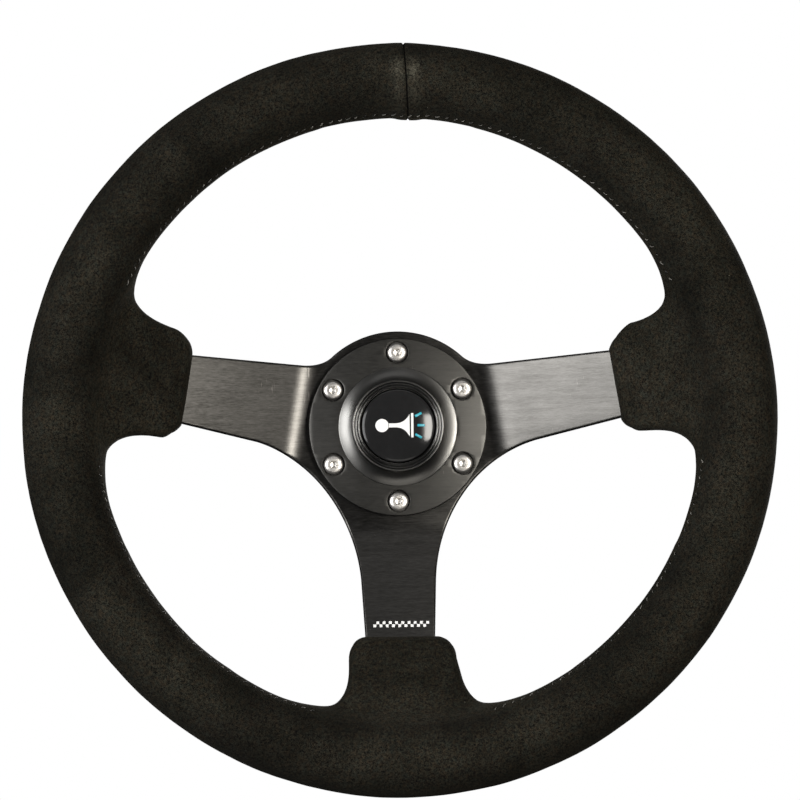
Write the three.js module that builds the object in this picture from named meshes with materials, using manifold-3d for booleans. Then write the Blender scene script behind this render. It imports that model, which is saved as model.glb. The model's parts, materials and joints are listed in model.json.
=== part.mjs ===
// Deep-dish three-spoke motorsport steering wheel on a ball-lock quick release.
// Millimetres. The wheel turns about Y, +Z is twelve o'clock and the driver sits at -Y.
// The origin is the centre of the back face of the column flange.

import * as THREE from 'three';
import { mergeVertices } from 'three/addons/utils/BufferGeometryUtils.js';
import Module from 'manifold-3d';

const wasm = await Module();
wasm.setup();

// ---------------------------------------------------------------- driving dimensions

const RIM_OUTER_RADIUS = 175;
const GRIP_WIDTH = 35;
const GRIP_DEPTH = 31;
const RIM_RADIUS = RIM_OUTER_RADIUS - GRIP_WIDTH / 2;
const SUEDE_THICKNESS = 1.5;
const HOOP_SECTION_RADIUS = 5;
const CLEARANCE = 0.3;

const PLATE_BACK_Y = -52;
const PLATE_THICKNESS = 4;
const PLATE_FRONT_Y = PLATE_BACK_Y - PLATE_THICKNESS;
const PLATE_MIDDLE_Y = (PLATE_BACK_Y + PLATE_FRONT_Y) / 2;
const DISH_DEPTH = 57;
const RIM_Y = PLATE_MIDDLE_Y - DISH_DEPTH;

const HUB_RADIUS = 45.3;
const HUB_HOLE_RADIUS = 23;
const BEND_DISTANCE = 47;
const SPOKE_SLOPE = Math.atan(DISH_DEPTH / (RIM_RADIUS - BEND_DISTANCE));
const SPOKE_TIP = RIM_RADIUS - HOOP_SECTION_RADIUS - 1.3;
const SIDE_SPOKE_ANGLE = THREE.MathUtils.degToRad(9.6);

// lobeEdge is where the grip's lobe ends on the spoke, and lobeShift moves the lobe across it,
// because the hand-sewn covering isn't quite even.
const SPOKES = [
  { name: 'right', angle: SIDE_SPOKE_ANGLE, lobeEdge: 102.4, lobeShift: 1.9 },
  { name: 'left', angle: Math.PI - SIDE_SPOKE_ANGLE, lobeEdge: 99.6, lobeShift: -1.3 },
  { name: 'lower', angle: 1.5 * Math.PI, lobeEdge: 99.4, lobeShift: 0.6 },
];

const BOLT_CIRCLE_RADIUS = 35;
const BOLT_COUNT = 6;
const BOLT_HOLE_RADIUS = 2.7;

const RING_OUTER_RADIUS = 41.75;
const RING_INNER_RADIUS = 27.2;
const RING_BACK_Y = PLATE_FRONT_Y - 0.1;
const RING_FRONT_Y = RING_BACK_Y - 5;

const STUB_RADIUS = 17;
const BARREL_RADIUS = 25;
const FLANGE_RADIUS = 40;
const BALL_RADIUS = 5;
const BALL_Y = -22;
const BALL_TRAVEL = 2.3;
const BALL_OUT_RADIUS = STUB_RADIUS + CLEARANCE + BALL_RADIUS;
const COLLAR_TRAVEL = 6;
const SPLINE_WIDTH = 4.6;
const SPLINE_HEIGHT = 2;

const COLLAR_BACK_Y = -14;
const COLLAR_FRONT_Y = -34;
const COLLAR_RELIEF_RADIUS = 29.6;
const COLLAR_GRIP_RADIUS = 32.5;
const COLLAR_LIP_RADIUS = 36;
const CLIP = { inner: 24.1, outer: 27.3, columnY: -14.5, driverY: -15.7 };
const COLLAR_SPRING = { radius: 28, wire: 0.9, fromY: -35.2, toY: -44.8, turns: 3 };

const BEZEL = { foot: 26.6, lip: 21.3, recess: 20.6, inner: 19.9, bore: 17.6 };
const CAP_RADIUS = 17;
const CAP_DOME_HEIGHT = 2.6;
const CAP_SKIRT = { inner: 15.2, flange: 19.4, columnY: -57.9, driverY: -59.1 };
const CAP_STEM = { radius: 3, endY: -52.2 };
const HORN_CUP = { stemHole: 4, inner: 20, outer: 21.5, flange: 26.6, floorY: -46.4, wall: 1.2 };
const HORN_SPRING = { radius: 17.6, wire: 0.6, fromY: -48.4, toY: -57.1, turns: 3 };
const TERMINAL = { width: 0.8, depth: 3.6, length: 6.3, x: 14, y: -44.4 };

const RIM_SEGMENTS = 44;
const HUB_SEGMENTS = 32;
const BUTTON_SEGMENTS = 24;

// ---------------------------------------------------------------- materials

function finish(color, roughness, metalness) {
  return new THREE.MeshStandardMaterial({ color, roughness, metalness });
}

const blackAnodised = finish(0x17171a, 0.35, 0.9);
const satinBlackRing = finish(0x2b2b2e, 0.3, 0.9);
const suede = finish(0x23211d, 0.95, 0);
const foam = finish(0x2e2e2e, 0.9, 0);
const steel = finish(0x9a9a9c, 0.35, 1);
const screwSteel = finish(0xc9c9cc, 0.22, 1);
const springSteel = finish(0x7c7c80, 0.35, 1);
const machinedAluminium = finish(0xb4b6ba, 0.35, 1);
const glossBlack = finish(0x050506, 0.08, 0);
const blackPlastic = finish(0x151515, 0.5, 0);
const brass = finish(0xb08d3f, 0.3, 1);

// ---------------------------------------------------------------- solids and meshes

// A three.js geometry as a closed solid that can be joined and cut.
function solid(geometry) {
  geometry.deleteAttribute('normal');
  geometry.deleteAttribute('uv');
  const merged = mergeVertices(geometry, 1e-4);
  const positions = merged.attributes.position.array;
  const corners = [];
  for (let i = 0; i < merged.index.count; i += 3) {
    const [a, b, c] = [0, 1, 2].map((k) => merged.index.getX(i + k));
    if (a !== b && b !== c && c !== a) {
      corners.push(a, b, c);
    }
  }
  if (signedVolume(positions, corners) < 0) {
    corners.reverse();
  }
  return new wasm.Manifold(new wasm.Mesh({
    numProp: 3,
    vertProperties: new Float32Array(positions),
    triVerts: new Uint32Array(corners),
  }));
}

function signedVolume(positions, corners) {
  let volume = 0;
  const [a, b, c] = [new THREE.Vector3(), new THREE.Vector3(), new THREE.Vector3()];
  for (let i = 0; i < corners.length; i += 3) {
    a.fromArray(positions, 3 * corners[i]);
    b.fromArray(positions, 3 * corners[i + 1]);
    c.fromArray(positions, 3 * corners[i + 2]);
    volume += a.dot(b.cross(c)) / 6;
  }
  return volume;
}

function union(solids) {
  return solids.reduce((whole, next) => whole.add(next));
}

function geometryOf(manifold) {
  const mesh = manifold.getMesh();
  const geometry = new THREE.BufferGeometry();
  geometry.setAttribute('position', new THREE.BufferAttribute(mesh.vertProperties, 3));
  geometry.setIndex(new THREE.BufferAttribute(mesh.triVerts, 1));
  geometry.computeVertexNormals();
  return geometry;
}

const wheel = new THREE.Group();

function place(name, manifold, material) {
  const mesh = new THREE.Mesh(geometryOf(manifold), material);
  mesh.name = name;
  wheel.add(mesh);
}

// A turned piece: a profile of [radius, y] points spun about Y.
function turned(profile, segments) {
  const points = profile.map(([radius, y]) => new THREE.Vector2(radius, y));
  const [first, last] = [points[0], points[points.length - 1]];
  if (first.x > 0 || last.x > 0) {
    points.push(first.clone());
  }
  return solid(new THREE.LatheGeometry(points, segments));
}

// A flat outline in X and Z, given thickness from backY towards the driver.
function slabOf(shape, backY, thickness, curveSegments = 8) {
  const geometry = new THREE.ExtrudeGeometry(shape, {
    depth: thickness,
    bevelEnabled: false,
    curveSegments,
  });
  geometry.rotateX(Math.PI / 2);
  geometry.translate(0, backY, 0);
  return solid(geometry);
}

function rodAlongY(radius, fromY, toY, [x, z], segments) {
  const geometry = new THREE.CylinderGeometry(radius, radius, Math.abs(toY - fromY), segments);
  geometry.translate(x, (fromY + toY) / 2, z);
  return solid(geometry);
}

// Radial position at an angle about Y, measured from +X towards +Z.
function around(radius, angle) {
  return [radius * Math.cos(angle), radius * Math.sin(angle)];
}

function evenAngles(count, first) {
  return Array.from({ length: count }, (_, i) => first + (2 * Math.PI * i) / count);
}

const BOLT_ANGLES = evenAngles(BOLT_COUNT, Math.PI / 2);
const BALL_ANGLES = evenAngles(6, Math.PI / 2);
const SPLINE_ANGLES = evenAngles(6, 0);

function boltHoles(radius, fromY, toY) {
  return union(BOLT_ANGLES.map((angle) => {
    const centre = around(BOLT_CIRCLE_RADIUS, angle);
    return rodAlongY(radius, fromY, toY, centre, 8);
  }));
}

class Helix extends THREE.Curve {
  constructor(radius, fromY, toY, turns) {
    super();
    Object.assign(this, { radius, fromY, toY, turns });
  }

  getPoint(t) {
    const angle = 2 * Math.PI * this.turns * t;
    const y = THREE.MathUtils.lerp(this.fromY, this.toY, t);
    return new THREE.Vector3(this.radius * Math.cos(angle), y, this.radius * Math.sin(angle));
  }
}

function coilSpring({ radius, wire, fromY, toY, turns }) {
  const section = new THREE.Shape().absarc(0, 0, wire, 0, 2 * Math.PI, false);
  return solid(new THREE.ExtrudeGeometry(section, {
    steps: Math.round(turns * 12),
    curveSegments: 2,
    extrudePath: new Helix(radius, fromY, toY, turns),
  }));
}

// ---------------------------------------------------------------- spoke plate

// A point on a side spoke: u runs outwards along the spoke, v across it, upwards.
function sideSpokePoint(side, u, v) {
  const cos = Math.cos(SIDE_SPOKE_ANGLE);
  const sin = Math.sin(SIDE_SPOKE_ANGLE);
  return [side * (u * cos - v * sin), u * sin + v * cos];
}

const SIDE_SPOKE = { topRoot: 22.2, topTip: 11.9, lowRoot: -18, lowTip: -14.5 };
const LOW_SPOKE = { rootHalfWidth: 18.2, tipHalfWidth: 14.2, rootZ: -72 };
const TOP_ROOT_U = 48;
const LOW_ROOT_U = 64;
const HUB_ARC_START = THREE.MathUtils.degToRad(47);

// The plate seen from the front: a round hub, two side spokes and one lower spoke.
function plateOutline() {
  const shape = new THREE.Shape();
  const topFillet = [35.4, 29.3];
  const sweepNearArm = [41.9, -13.8];
  const sweepNearSpoke = [21, -39.6];
  const { rootHalfWidth, tipHalfWidth, rootZ } = LOW_SPOKE;
  shape.moveTo(...sideSpokePoint(1, SPOKE_TIP, SIDE_SPOKE.topTip));
  shape.lineTo(...sideSpokePoint(1, TOP_ROOT_U, SIDE_SPOKE.topRoot));
  shape.quadraticCurveTo(...topFillet, ...around(HUB_RADIUS, HUB_ARC_START));
  shape.absarc(0, 0, HUB_RADIUS, HUB_ARC_START, Math.PI - HUB_ARC_START, false);
  const leftTopRoot = sideSpokePoint(-1, TOP_ROOT_U, SIDE_SPOKE.topRoot);
  shape.quadraticCurveTo(-topFillet[0], topFillet[1], ...leftTopRoot);
  shape.lineTo(...sideSpokePoint(-1, SPOKE_TIP, SIDE_SPOKE.topTip));
  shape.lineTo(...sideSpokePoint(-1, SPOKE_TIP, SIDE_SPOKE.lowTip));
  shape.lineTo(...sideSpokePoint(-1, LOW_ROOT_U, SIDE_SPOKE.lowRoot));
  shape.bezierCurveTo(
    -sweepNearArm[0],
    sweepNearArm[1],
    -sweepNearSpoke[0],
    sweepNearSpoke[1],
    -rootHalfWidth,
    rootZ,
  );
  shape.lineTo(-tipHalfWidth, -SPOKE_TIP);
  shape.lineTo(tipHalfWidth, -SPOKE_TIP);
  shape.lineTo(rootHalfWidth, rootZ);
  shape.bezierCurveTo(
    ...sweepNearSpoke,
    ...sweepNearArm,
    ...sideSpokePoint(1, LOW_ROOT_U, SIDE_SPOKE.lowRoot),
  );
  shape.closePath();
  return shape;
}

// The bent sheet of one spoke: flat across the hub, then sloping forwards to the rim.
function bentSheet(angle) {
  const halfWidth = 46;
  const reach = RIM_RADIUS + 5;
  const slope = Math.tan(SPOKE_SLOPE);
  const mitre = (PLATE_THICKNESS / 2) * Math.tan(SPOKE_SLOPE / 2);
  const [frontBend, backBend] = [BEND_DISTANCE - mitre, BEND_DISTANCE + mitre];
  const side = new THREE.Shape();
  side.moveTo(-halfWidth, PLATE_BACK_Y);
  side.lineTo(-halfWidth, PLATE_FRONT_Y);
  side.lineTo(frontBend, PLATE_FRONT_Y);
  side.lineTo(reach, PLATE_FRONT_Y - (reach - frontBend) * slope);
  side.lineTo(reach, PLATE_BACK_Y - (reach - backBend) * slope);
  side.lineTo(backBend, PLATE_BACK_Y);
  side.closePath();
  const geometry = new THREE.ExtrudeGeometry(side, { depth: 2 * halfWidth, bevelEnabled: false });
  geometry.translate(0, 0, -halfWidth);
  geometry.rotateY(-angle);
  return solid(geometry);
}

function makeSpokePlate() {
  const column = slabOf(plateOutline(), 10, 200);
  const sheets = union(SPOKES.map(({ angle }) => bentSheet(angle)));
  const hubHole = rodAlongY(HUB_HOLE_RADIUS, -40, -70, [0, 0], HUB_SEGMENTS);
  const plate = column.intersect(sheets);
  return plate.subtract(hubHole).subtract(boltHoles(BOLT_HOLE_RADIUS, -40, -70));
}

// ---------------------------------------------------------------- rim: hoop, foam and suede

// The oval grip, made smaller all round by inset.
function gripTube(inset) {
  const sides = 12;
  const profile = evenAngles(sides, Math.PI / sides).map((t) => [
    RIM_RADIUS + (GRIP_WIDTH / 2 / Math.cos(Math.PI / sides) - inset) * Math.cos(t),
    RIM_Y + (GRIP_DEPTH / 2 / Math.cos(Math.PI / sides) - inset) * Math.sin(t),
  ]);
  return turned(profile, RIM_SEGMENTS);
}

const LOBE_THICKNESS = 14;
const LOBE_HEM = 2.5;
const LOBE_NARROW = 17;
const LOBE_WIDE = 24.8;
const LOBE_FLARE = 33;

// Distance outwards in plan turned into distance along the sloping spoke.
function alongSlope(u) {
  return (u - BEND_DISTANCE) / Math.cos(SPOKE_SLOPE);
}

// A piece drawn flat on a spoke, laid in the sloping plane of the spoke at an angle.
function onSpoke(shape, thickness, angle) {
  const geometry = new THREE.ExtrudeGeometry(shape, {
    depth: thickness,
    bevelEnabled: false,
    curveSegments: 4,
  });
  geometry.translate(0, 0, -thickness / 2);
  geometry.rotateX(Math.PI / 2);
  geometry.rotateZ(-SPOKE_SLOPE);
  geometry.translate(BEND_DISTANCE, PLATE_MIDDLE_Y, 0);
  geometry.rotateY(-angle);
  return solid(geometry);
}

// The padded tongue that carries the grip covering down onto a spoke, made smaller all round
// by inset. Inside its turned edge, the foam and the room for it stop short by the hem.
function lobe(inset, spoke) {
  const foam = inset > 0;
  const edge = alongSlope(spoke.lobeEdge + inset + (foam ? LOBE_HEM : 0));
  const corner = alongSlope(spoke.lobeEdge + (foam ? 13.5 : 10));
  const root = alongSlope(121);
  const rim = alongSlope(134);
  const end = alongSlope(144);
  const across = (v) => spoke.lobeShift + v;
  const [narrow, wide, flare] = [LOBE_NARROW, LOBE_WIDE, LOBE_FLARE].map((v) => v - inset);
  // the foam has cut corners and straight sides, so the covering can be sewn rounder over it
  const [pullOut, pullAcross] = foam ? [(edge + corner) / 2, (narrow + wide) / 2] : [edge + 2, wide];
  const spread = foam ? 0 : 1.5;
  const shape = new THREE.Shape();
  shape.moveTo(edge, across(-narrow));
  shape.quadraticCurveTo(pullOut, across(-pullAcross), corner, across(-wide));
  shape.lineTo(root, across(-wide - spread));
  shape.quadraticCurveTo(rim, across(-wide - 2 * spread), rim, across(-flare));
  shape.lineTo(end, across(-flare));
  shape.lineTo(end, across(flare));
  shape.lineTo(rim, across(flare));
  shape.quadraticCurveTo(rim, across(wide + 2 * spread), root, across(wide + spread));
  shape.lineTo(corner, across(wide));
  shape.quadraticCurveTo(pullOut, across(pullAcross), edge, across(narrow));
  shape.closePath();
  return onSpoke(shape, LOBE_THICKNESS - 2 * inset, spoke.angle);
}

function gripBody(inset) {
  const lobes = SPOKES.map((spoke) => lobe(inset, spoke));
  return union([gripTube(inset), ...lobes]);
}

// Room for the three spokes inside the grip, reaching into the room for the hoop.
function spokeRoom() {
  const slots = SPOKES.map(({ angle }) => {
    const halfWidth = 17.6;
    const shape = new THREE.Shape();
    shape.moveTo(alongSlope(90), -halfWidth);
    shape.lineTo(alongSlope(SPOKE_TIP + 4), -halfWidth + 1.5);
    shape.lineTo(alongSlope(SPOKE_TIP + 4), halfWidth - 1.5);
    shape.lineTo(alongSlope(90), halfWidth);
    shape.closePath();
    return onSpoke(shape, PLATE_THICKNESS * Math.cos(SPOKE_SLOPE) + 2 * CLEARANCE, angle);
  });
  return union(slots);
}

function hoopTube(extra) {
  const sectionRadius = HOOP_SECTION_RADIUS + extra;
  const profile = evenAngles(6, 0).map((t) => [
    RIM_RADIUS + sectionRadius * Math.cos(t),
    RIM_Y + sectionRadius * Math.sin(t),
  ]);
  return turned(profile, RIM_SEGMENTS);
}

function halfSpace(side) {
  const gap = 0.15;
  const geometry = new THREE.BoxGeometry(300, 300, 500);
  geometry.translate(side * (150 + gap), RIM_Y, 0);
  return solid(geometry);
}

function makeSuede(side) {
  const shell = gripBody(0).subtract(gripBody(SUEDE_THICKNESS));
  return shell.subtract(spokeRoom()).intersect(halfSpace(side));
}

function makeFoamRing() {
  const body = gripTube(SUEDE_THICKNESS + CLEARANCE);
  return body.subtract(hoopTube(CLEARANCE)).subtract(spokeRoom());
}

// The foam pad of one lobe, wrapped round its spoke and ending against the foam ring.
function makeSpokePad(spoke) {
  const pad = lobe(SUEDE_THICKNESS + CLEARANCE, spoke);
  return pad.subtract(gripTube(SUEDE_THICKNESS)).subtract(spokeRoom());
}

// ---------------------------------------------------------------- horn ring and screws

const SCREW_SEAT_Y = RING_FRONT_Y + 3;

function makeHornRing() {
  const chamfer = 0.7;
  const ring = turned([
    [RING_INNER_RADIUS, RING_BACK_Y],
    [RING_OUTER_RADIUS, RING_BACK_Y],
    [RING_OUTER_RADIUS, RING_FRONT_Y + chamfer],
    [RING_OUTER_RADIUS - chamfer, RING_FRONT_Y],
    [RING_INNER_RADIUS, RING_FRONT_Y],
  ], HUB_SEGMENTS);
  const counterbores = boltHoles(5, SCREW_SEAT_Y, RING_FRONT_Y - 1);
  return ring.subtract(counterbores).subtract(boltHoles(BOLT_HOLE_RADIUS, -50, -70));
}

// A button-head screw with a hexagon socket, threaded into the adaptor flange.
function makeScrew(angle) {
  const [x, z] = around(BOLT_CIRCLE_RADIUS, angle);
  const headY = SCREW_SEAT_Y - 0.1;
  const screw = turned([
    [0, PLATE_BACK_Y + 5.5],
    [2.45, PLATE_BACK_Y + 5.5],
    [2.45, headY],
    [4.65, headY],
    [4.4, headY - 1.3],
    [3.2, headY - 2.3],
    [1.9, headY - 2.7],
    [0, headY - 2.7],
  ], 10);
  const socket = rodAlongY(1.75, headY - 0.9, headY - 4, [0, 0], 6);
  return screw.subtract(socket).translate([x, 0, z]);
}

// ---------------------------------------------------------------- horn push

const BEZEL_FOOT_Y = RING_BACK_Y - 1.8;
const BEZEL_TOP_Y = RING_FRONT_Y - 7;

function makeHornBezel() {
  const outside = [];
  for (let i = 0; i <= 4; i += 1) {
    const t = i / 4;
    const radius = THREE.MathUtils.lerp(BEZEL.foot, BEZEL.lip, 1 - (1 - t) ** 1.6);
    outside.push([radius, THREE.MathUtils.lerp(RING_FRONT_Y, BEZEL_TOP_Y + 0.5, t ** 1.3)]);
  }
  return turned([
    [BEZEL.foot, BEZEL_FOOT_Y],
    ...outside,
    [BEZEL.recess + 0.3, BEZEL_TOP_Y],
    [BEZEL.recess, BEZEL_TOP_Y + 0.4],
    [BEZEL.recess, BEZEL_TOP_Y + 2.2],
    [BEZEL.bore, BEZEL_TOP_Y + 2.2],
    [BEZEL.bore, CAP_SKIRT.driverY - 0.2],
    [BEZEL.inner, CAP_SKIRT.driverY - 0.2],
    [BEZEL.inner, BEZEL_FOOT_Y],
  ], BUTTON_SEGMENTS);
}

function makeTrimRing() {
  const backY = BEZEL_TOP_Y + 2;
  const [inner, outer] = [BEZEL.bore + CLEARANCE, BEZEL.recess - CLEARANCE];
  const bead = (outer - inner) / 4;
  return turned([
    [inner, backY],
    [outer, backY],
    [outer, backY - 1.6],
    [outer - bead, backY - 2.1],
    [outer - 2 * bead, backY - 1.5],
    [inner + bead, backY - 2.1],
    [inner, backY - 1.6],
  ], BUTTON_SEGMENTS);
}

const CAP_SHOULDER_Y = BEZEL_TOP_Y + 0.6;

function makeHornCap() {
  const dome = [];
  const sphereRadius = (CAP_RADIUS ** 2 + CAP_DOME_HEIGHT ** 2) / (2 * CAP_DOME_HEIGHT);
  for (let i = 4; i >= 1; i -= 1) {
    const radius = (CAP_RADIUS * i) / 4;
    const drop = sphereRadius - Math.sqrt(sphereRadius ** 2 - radius ** 2);
    dome.push([radius, CAP_SHOULDER_Y - CAP_DOME_HEIGHT + drop]);
  }
  return turned([
    [0, CAP_STEM.endY],
    [CAP_STEM.radius, CAP_STEM.endY],
    [CAP_STEM.radius, CAP_SHOULDER_Y + 1],
    [CAP_SKIRT.inner, CAP_SHOULDER_Y + 1.6],
    [CAP_SKIRT.inner, CAP_SKIRT.columnY],
    [CAP_SKIRT.flange, CAP_SKIRT.columnY],
    [CAP_SKIRT.flange, CAP_SKIRT.driverY],
    [CAP_RADIUS, CAP_SKIRT.driverY],
    ...dome,
    [0, CAP_SHOULDER_Y - CAP_DOME_HEIGHT],
  ], BUTTON_SEGMENTS);
}

function makeHornCup() {
  const { stemHole, inner, outer, flange, floorY, wall } = HORN_CUP;
  return turned([
    [stemHole, floorY],
    [outer, floorY],
    [outer, RING_BACK_Y],
    [flange, RING_BACK_Y],
    [flange, RING_BACK_Y - 1.5],
    [inner, RING_BACK_Y - 1.5],
    [inner, floorY - wall],
    [stemHole, floorY - wall],
  ], BUTTON_SEGMENTS);
}

function ringPlate(innerRadius, outerRadius, backY, frontY, segments) {
  return turned([
    [innerRadius, backY],
    [outerRadius, backY],
    [outerRadius, frontY],
    [innerRadius, frontY],
  ], segments);
}

function makeTerminal(side) {
  const geometry = new THREE.BoxGeometry(TERMINAL.width, TERMINAL.depth, TERMINAL.length);
  geometry.translate(side * TERMINAL.x, TERMINAL.y, 0);
  return solid(geometry);
}

// ---------------------------------------------------------------- quick release, wheel half

function splines(extraWidth, extraHeight, fromY, toY) {
  const innerRadius = STUB_RADIUS - 1.5;
  const outerRadius = STUB_RADIUS + SPLINE_HEIGHT + extraHeight;
  return union(SPLINE_ANGLES.map((angle) => {
    const length = Math.abs(toY - fromY);
    const width = SPLINE_WIDTH + extraWidth;
    const geometry = new THREE.BoxGeometry(outerRadius - innerRadius, length, width);
    geometry.translate((innerRadius + outerRadius) / 2, (fromY + toY) / 2, 0);
    geometry.rotateY(-angle);
    return solid(geometry);
  }));
}

function ballHoles() {
  const sides = 10;
  const radius = (BALL_RADIUS + 0.15) / Math.cos(Math.PI / sides);
  return union(BALL_ANGLES.map((angle) => {
    const geometry = new THREE.CylinderGeometry(radius, radius, 14, sides);
    geometry.rotateZ(Math.PI / 2);
    geometry.translate(BARREL_RADIUS - 3, BALL_Y, 0);
    geometry.rotateY(-angle);
    return solid(geometry);
  }));
}

const SOCKET_RADIUS = STUB_RADIUS + 0.25;

function makeAdaptor() {
  const body = turned([
    [SOCKET_RADIUS, -9],
    [BARREL_RADIUS - 0.6, -9],
    [BARREL_RADIUS, -9.6],
    [BARREL_RADIUS, CLIP.columnY + 0.2],
    [BARREL_RADIUS - 1.3, CLIP.columnY + 0.2],
    [BARREL_RADIUS - 1.3, CLIP.driverY - 0.2],
    [BARREL_RADIUS, CLIP.driverY - 0.2],
    [BARREL_RADIUS, PLATE_BACK_Y + 6],
    [FLANGE_RADIUS, PLATE_BACK_Y + 6],
    [FLANGE_RADIUS, PLATE_BACK_Y + 0.1],
    [22.2, PLATE_BACK_Y + 0.1],
    [22.2, -40],
    [8, -40],
    [8, -36.5],
    [SOCKET_RADIUS, -36.5],
  ], HUB_SEGMENTS);
  const keyways = splines(0.5, 0.25, -5, -36.4);
  const threadedHoles = boltHoles(BOLT_HOLE_RADIUS, -40, -60);
  return body.subtract(keyways).subtract(ballHoles()).subtract(threadedHoles);
}

const CAM_SLOPE = BALL_TRAVEL / COLLAR_TRAVEL;

// The collar in its released place. Its cone lets the balls out as it is pulled back.
function makeCollar() {
  const ballToCone = (BALL_RADIUS + 0.1) * Math.hypot(1, CAM_SLOPE);
  const coneRadiusAtBall = BALL_OUT_RADIUS + ballToCone;
  const bore = BARREL_RADIUS + CLEARANCE;
  const coneStart = BALL_Y - (coneRadiusAtBall - bore) / CAM_SLOPE;
  const coneEnd = BALL_Y + (COLLAR_RELIEF_RADIUS - coneRadiusAtBall) / CAM_SLOPE;
  return turned([
    [bore, COLLAR_FRONT_Y],
    [bore, coneStart],
    [COLLAR_RELIEF_RADIUS, coneEnd],
    [COLLAR_RELIEF_RADIUS, COLLAR_BACK_Y],
    [COLLAR_GRIP_RADIUS - 0.5, COLLAR_BACK_Y],
    [COLLAR_GRIP_RADIUS, COLLAR_BACK_Y - 0.6],
    [COLLAR_GRIP_RADIUS, -24],
    [COLLAR_LIP_RADIUS, -27.5],
    [COLLAR_LIP_RADIUS, COLLAR_FRONT_Y + 0.6],
    [COLLAR_LIP_RADIUS - 0.6, COLLAR_FRONT_Y],
  ], HUB_SEGMENTS);
}

function makeClip() {
  const opening = THREE.MathUtils.degToRad(14);
  const shape = new THREE.Shape();
  shape.absarc(0, 0, CLIP.outer, opening, 2 * Math.PI - opening, false);
  shape.absarc(0, 0, CLIP.inner, 2 * Math.PI - opening, opening, true);
  shape.closePath();
  return slabOf(shape, CLIP.columnY, CLIP.columnY - CLIP.driverY, 10);
}

function makeBall(angle) {
  const geometry = new THREE.IcosahedronGeometry(BALL_RADIUS, 1);
  const [x, z] = around(BALL_OUT_RADIUS, angle);
  geometry.translate(x, BALL_Y, z);
  return solid(geometry);
}

function makeContactHolder() {
  return turned([
    [3.3, -37.7],
    [7.7, -37.7],
    [7.7, -40.3],
    [11, -40.3],
    [11, -41.8],
    [3.3, -41.8],
  ], 16);
}

function makeWheelContact() {
  return turned([
    [0, -36.2],
    [6, -36.2],
    [6, -37.4],
    [3, -37.4],
    [3, -45.4],
    [0, -45.4],
  ], 12);
}

// ---------------------------------------------------------------- quick release, column half

function makeColumnHub() {
  const grooveHalfWidth = { top: 4.8, bottom: 2.8 };
  const grooveRadius = STUB_RADIUS - 2.5;
  const body = turned([
    [6, 0],
    [FLANGE_RADIUS, 0],
    [FLANGE_RADIUS, -6.4],
    [FLANGE_RADIUS - 0.6, -7],
    [STUB_RADIUS, -7],
    [STUB_RADIUS, BALL_Y + grooveHalfWidth.top],
    [grooveRadius, BALL_Y + grooveHalfWidth.bottom],
    [grooveRadius, BALL_Y - grooveHalfWidth.bottom],
    [STUB_RADIUS, BALL_Y - grooveHalfWidth.top],
    [STUB_RADIUS, -33],
    [STUB_RADIUS - 1.8, -35],
    [6, -35],
  ], HUB_SEGMENTS);
  const countersinks = union(BOLT_ANGLES.map((angle) => {
    const geometry = new THREE.CylinderGeometry(BOLT_HOLE_RADIUS, 4.7, 2.1, 8);
    const [x, z] = around(BOLT_CIRCLE_RADIUS, angle);
    geometry.translate(x, -6, z);
    return solid(geometry);
  }));
  const ribs = splines(0, 0, -6.5, -32.5);
  return body.add(ribs).subtract(boltHoles(BOLT_HOLE_RADIUS, 2, -9)).subtract(countersinks);
}

// ---------------------------------------------------------------- assembly

place('spoke_plate', makeSpokePlate(), blackAnodised);
place('rim_hoop', hoopTube(0), steel);
place('rim_foam', makeFoamRing(), foam);
SPOKES.forEach((spoke) => place(`spoke_pad_${spoke.name}`, makeSpokePad(spoke), foam));
place('suede_left', makeSuede(-1), suede);
place('suede_right', makeSuede(1), suede);

place('horn_ring', makeHornRing(), satinBlackRing);
BOLT_ANGLES.forEach((angle, i) => place(`horn_screw_${i + 1}`, makeScrew(angle), screwSteel));

place('horn_bezel', makeHornBezel(), blackAnodised);
place('horn_trim_ring', makeTrimRing(), satinBlackRing);
place('horn_cap', makeHornCap(), glossBlack);
place('horn_cup', makeHornCup(), blackPlastic);
place('horn_return_spring', coilSpring(HORN_SPRING), springSteel);
place('horn_moving_contact', ringPlate(0, 12, -51.2, -52, BUTTON_SEGMENTS), brass);
place('horn_fixed_contact', ringPlate(5, 14, -47.7, -48.5, BUTTON_SEGMENTS), brass);
place('horn_terminal_1', makeTerminal(-1), brass);
place('horn_terminal_2', makeTerminal(1), brass);

place('adaptor_body', makeAdaptor(), machinedAluminium);
place('release_collar', makeCollar(), blackAnodised);
place('collar_spring', coilSpring(COLLAR_SPRING), springSteel);
place('collar_clip', makeClip(), springSteel);
BALL_ANGLES.forEach((angle, i) => place(`locking_ball_${i + 1}`, makeBall(angle), steel));
place('contact_holder', makeContactHolder(), blackPlastic);
place('wheel_contact', makeWheelContact(), brass);

place('column_hub', makeColumnHub(), steel);
place('column_insulator', ringPlate(3.3, 5.7, -1, -34.7, 16), blackPlastic);
place('column_contact', ringPlate(0, 3, -0.5, -35.9, 12), brass);

export default wheel;
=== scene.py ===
"""Looks of the quick release steering wheel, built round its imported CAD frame.

Shapes are worked out in millimetres, in the frame's own axes, and turned into metres as meshes
are made: the wheel turns about Y, +Z is twelve o'clock and the driver sits at -Y.
"""

import json
import math

import bmesh
import bpy
import numpy as np
from mathutils import Matrix, Vector, noise


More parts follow.
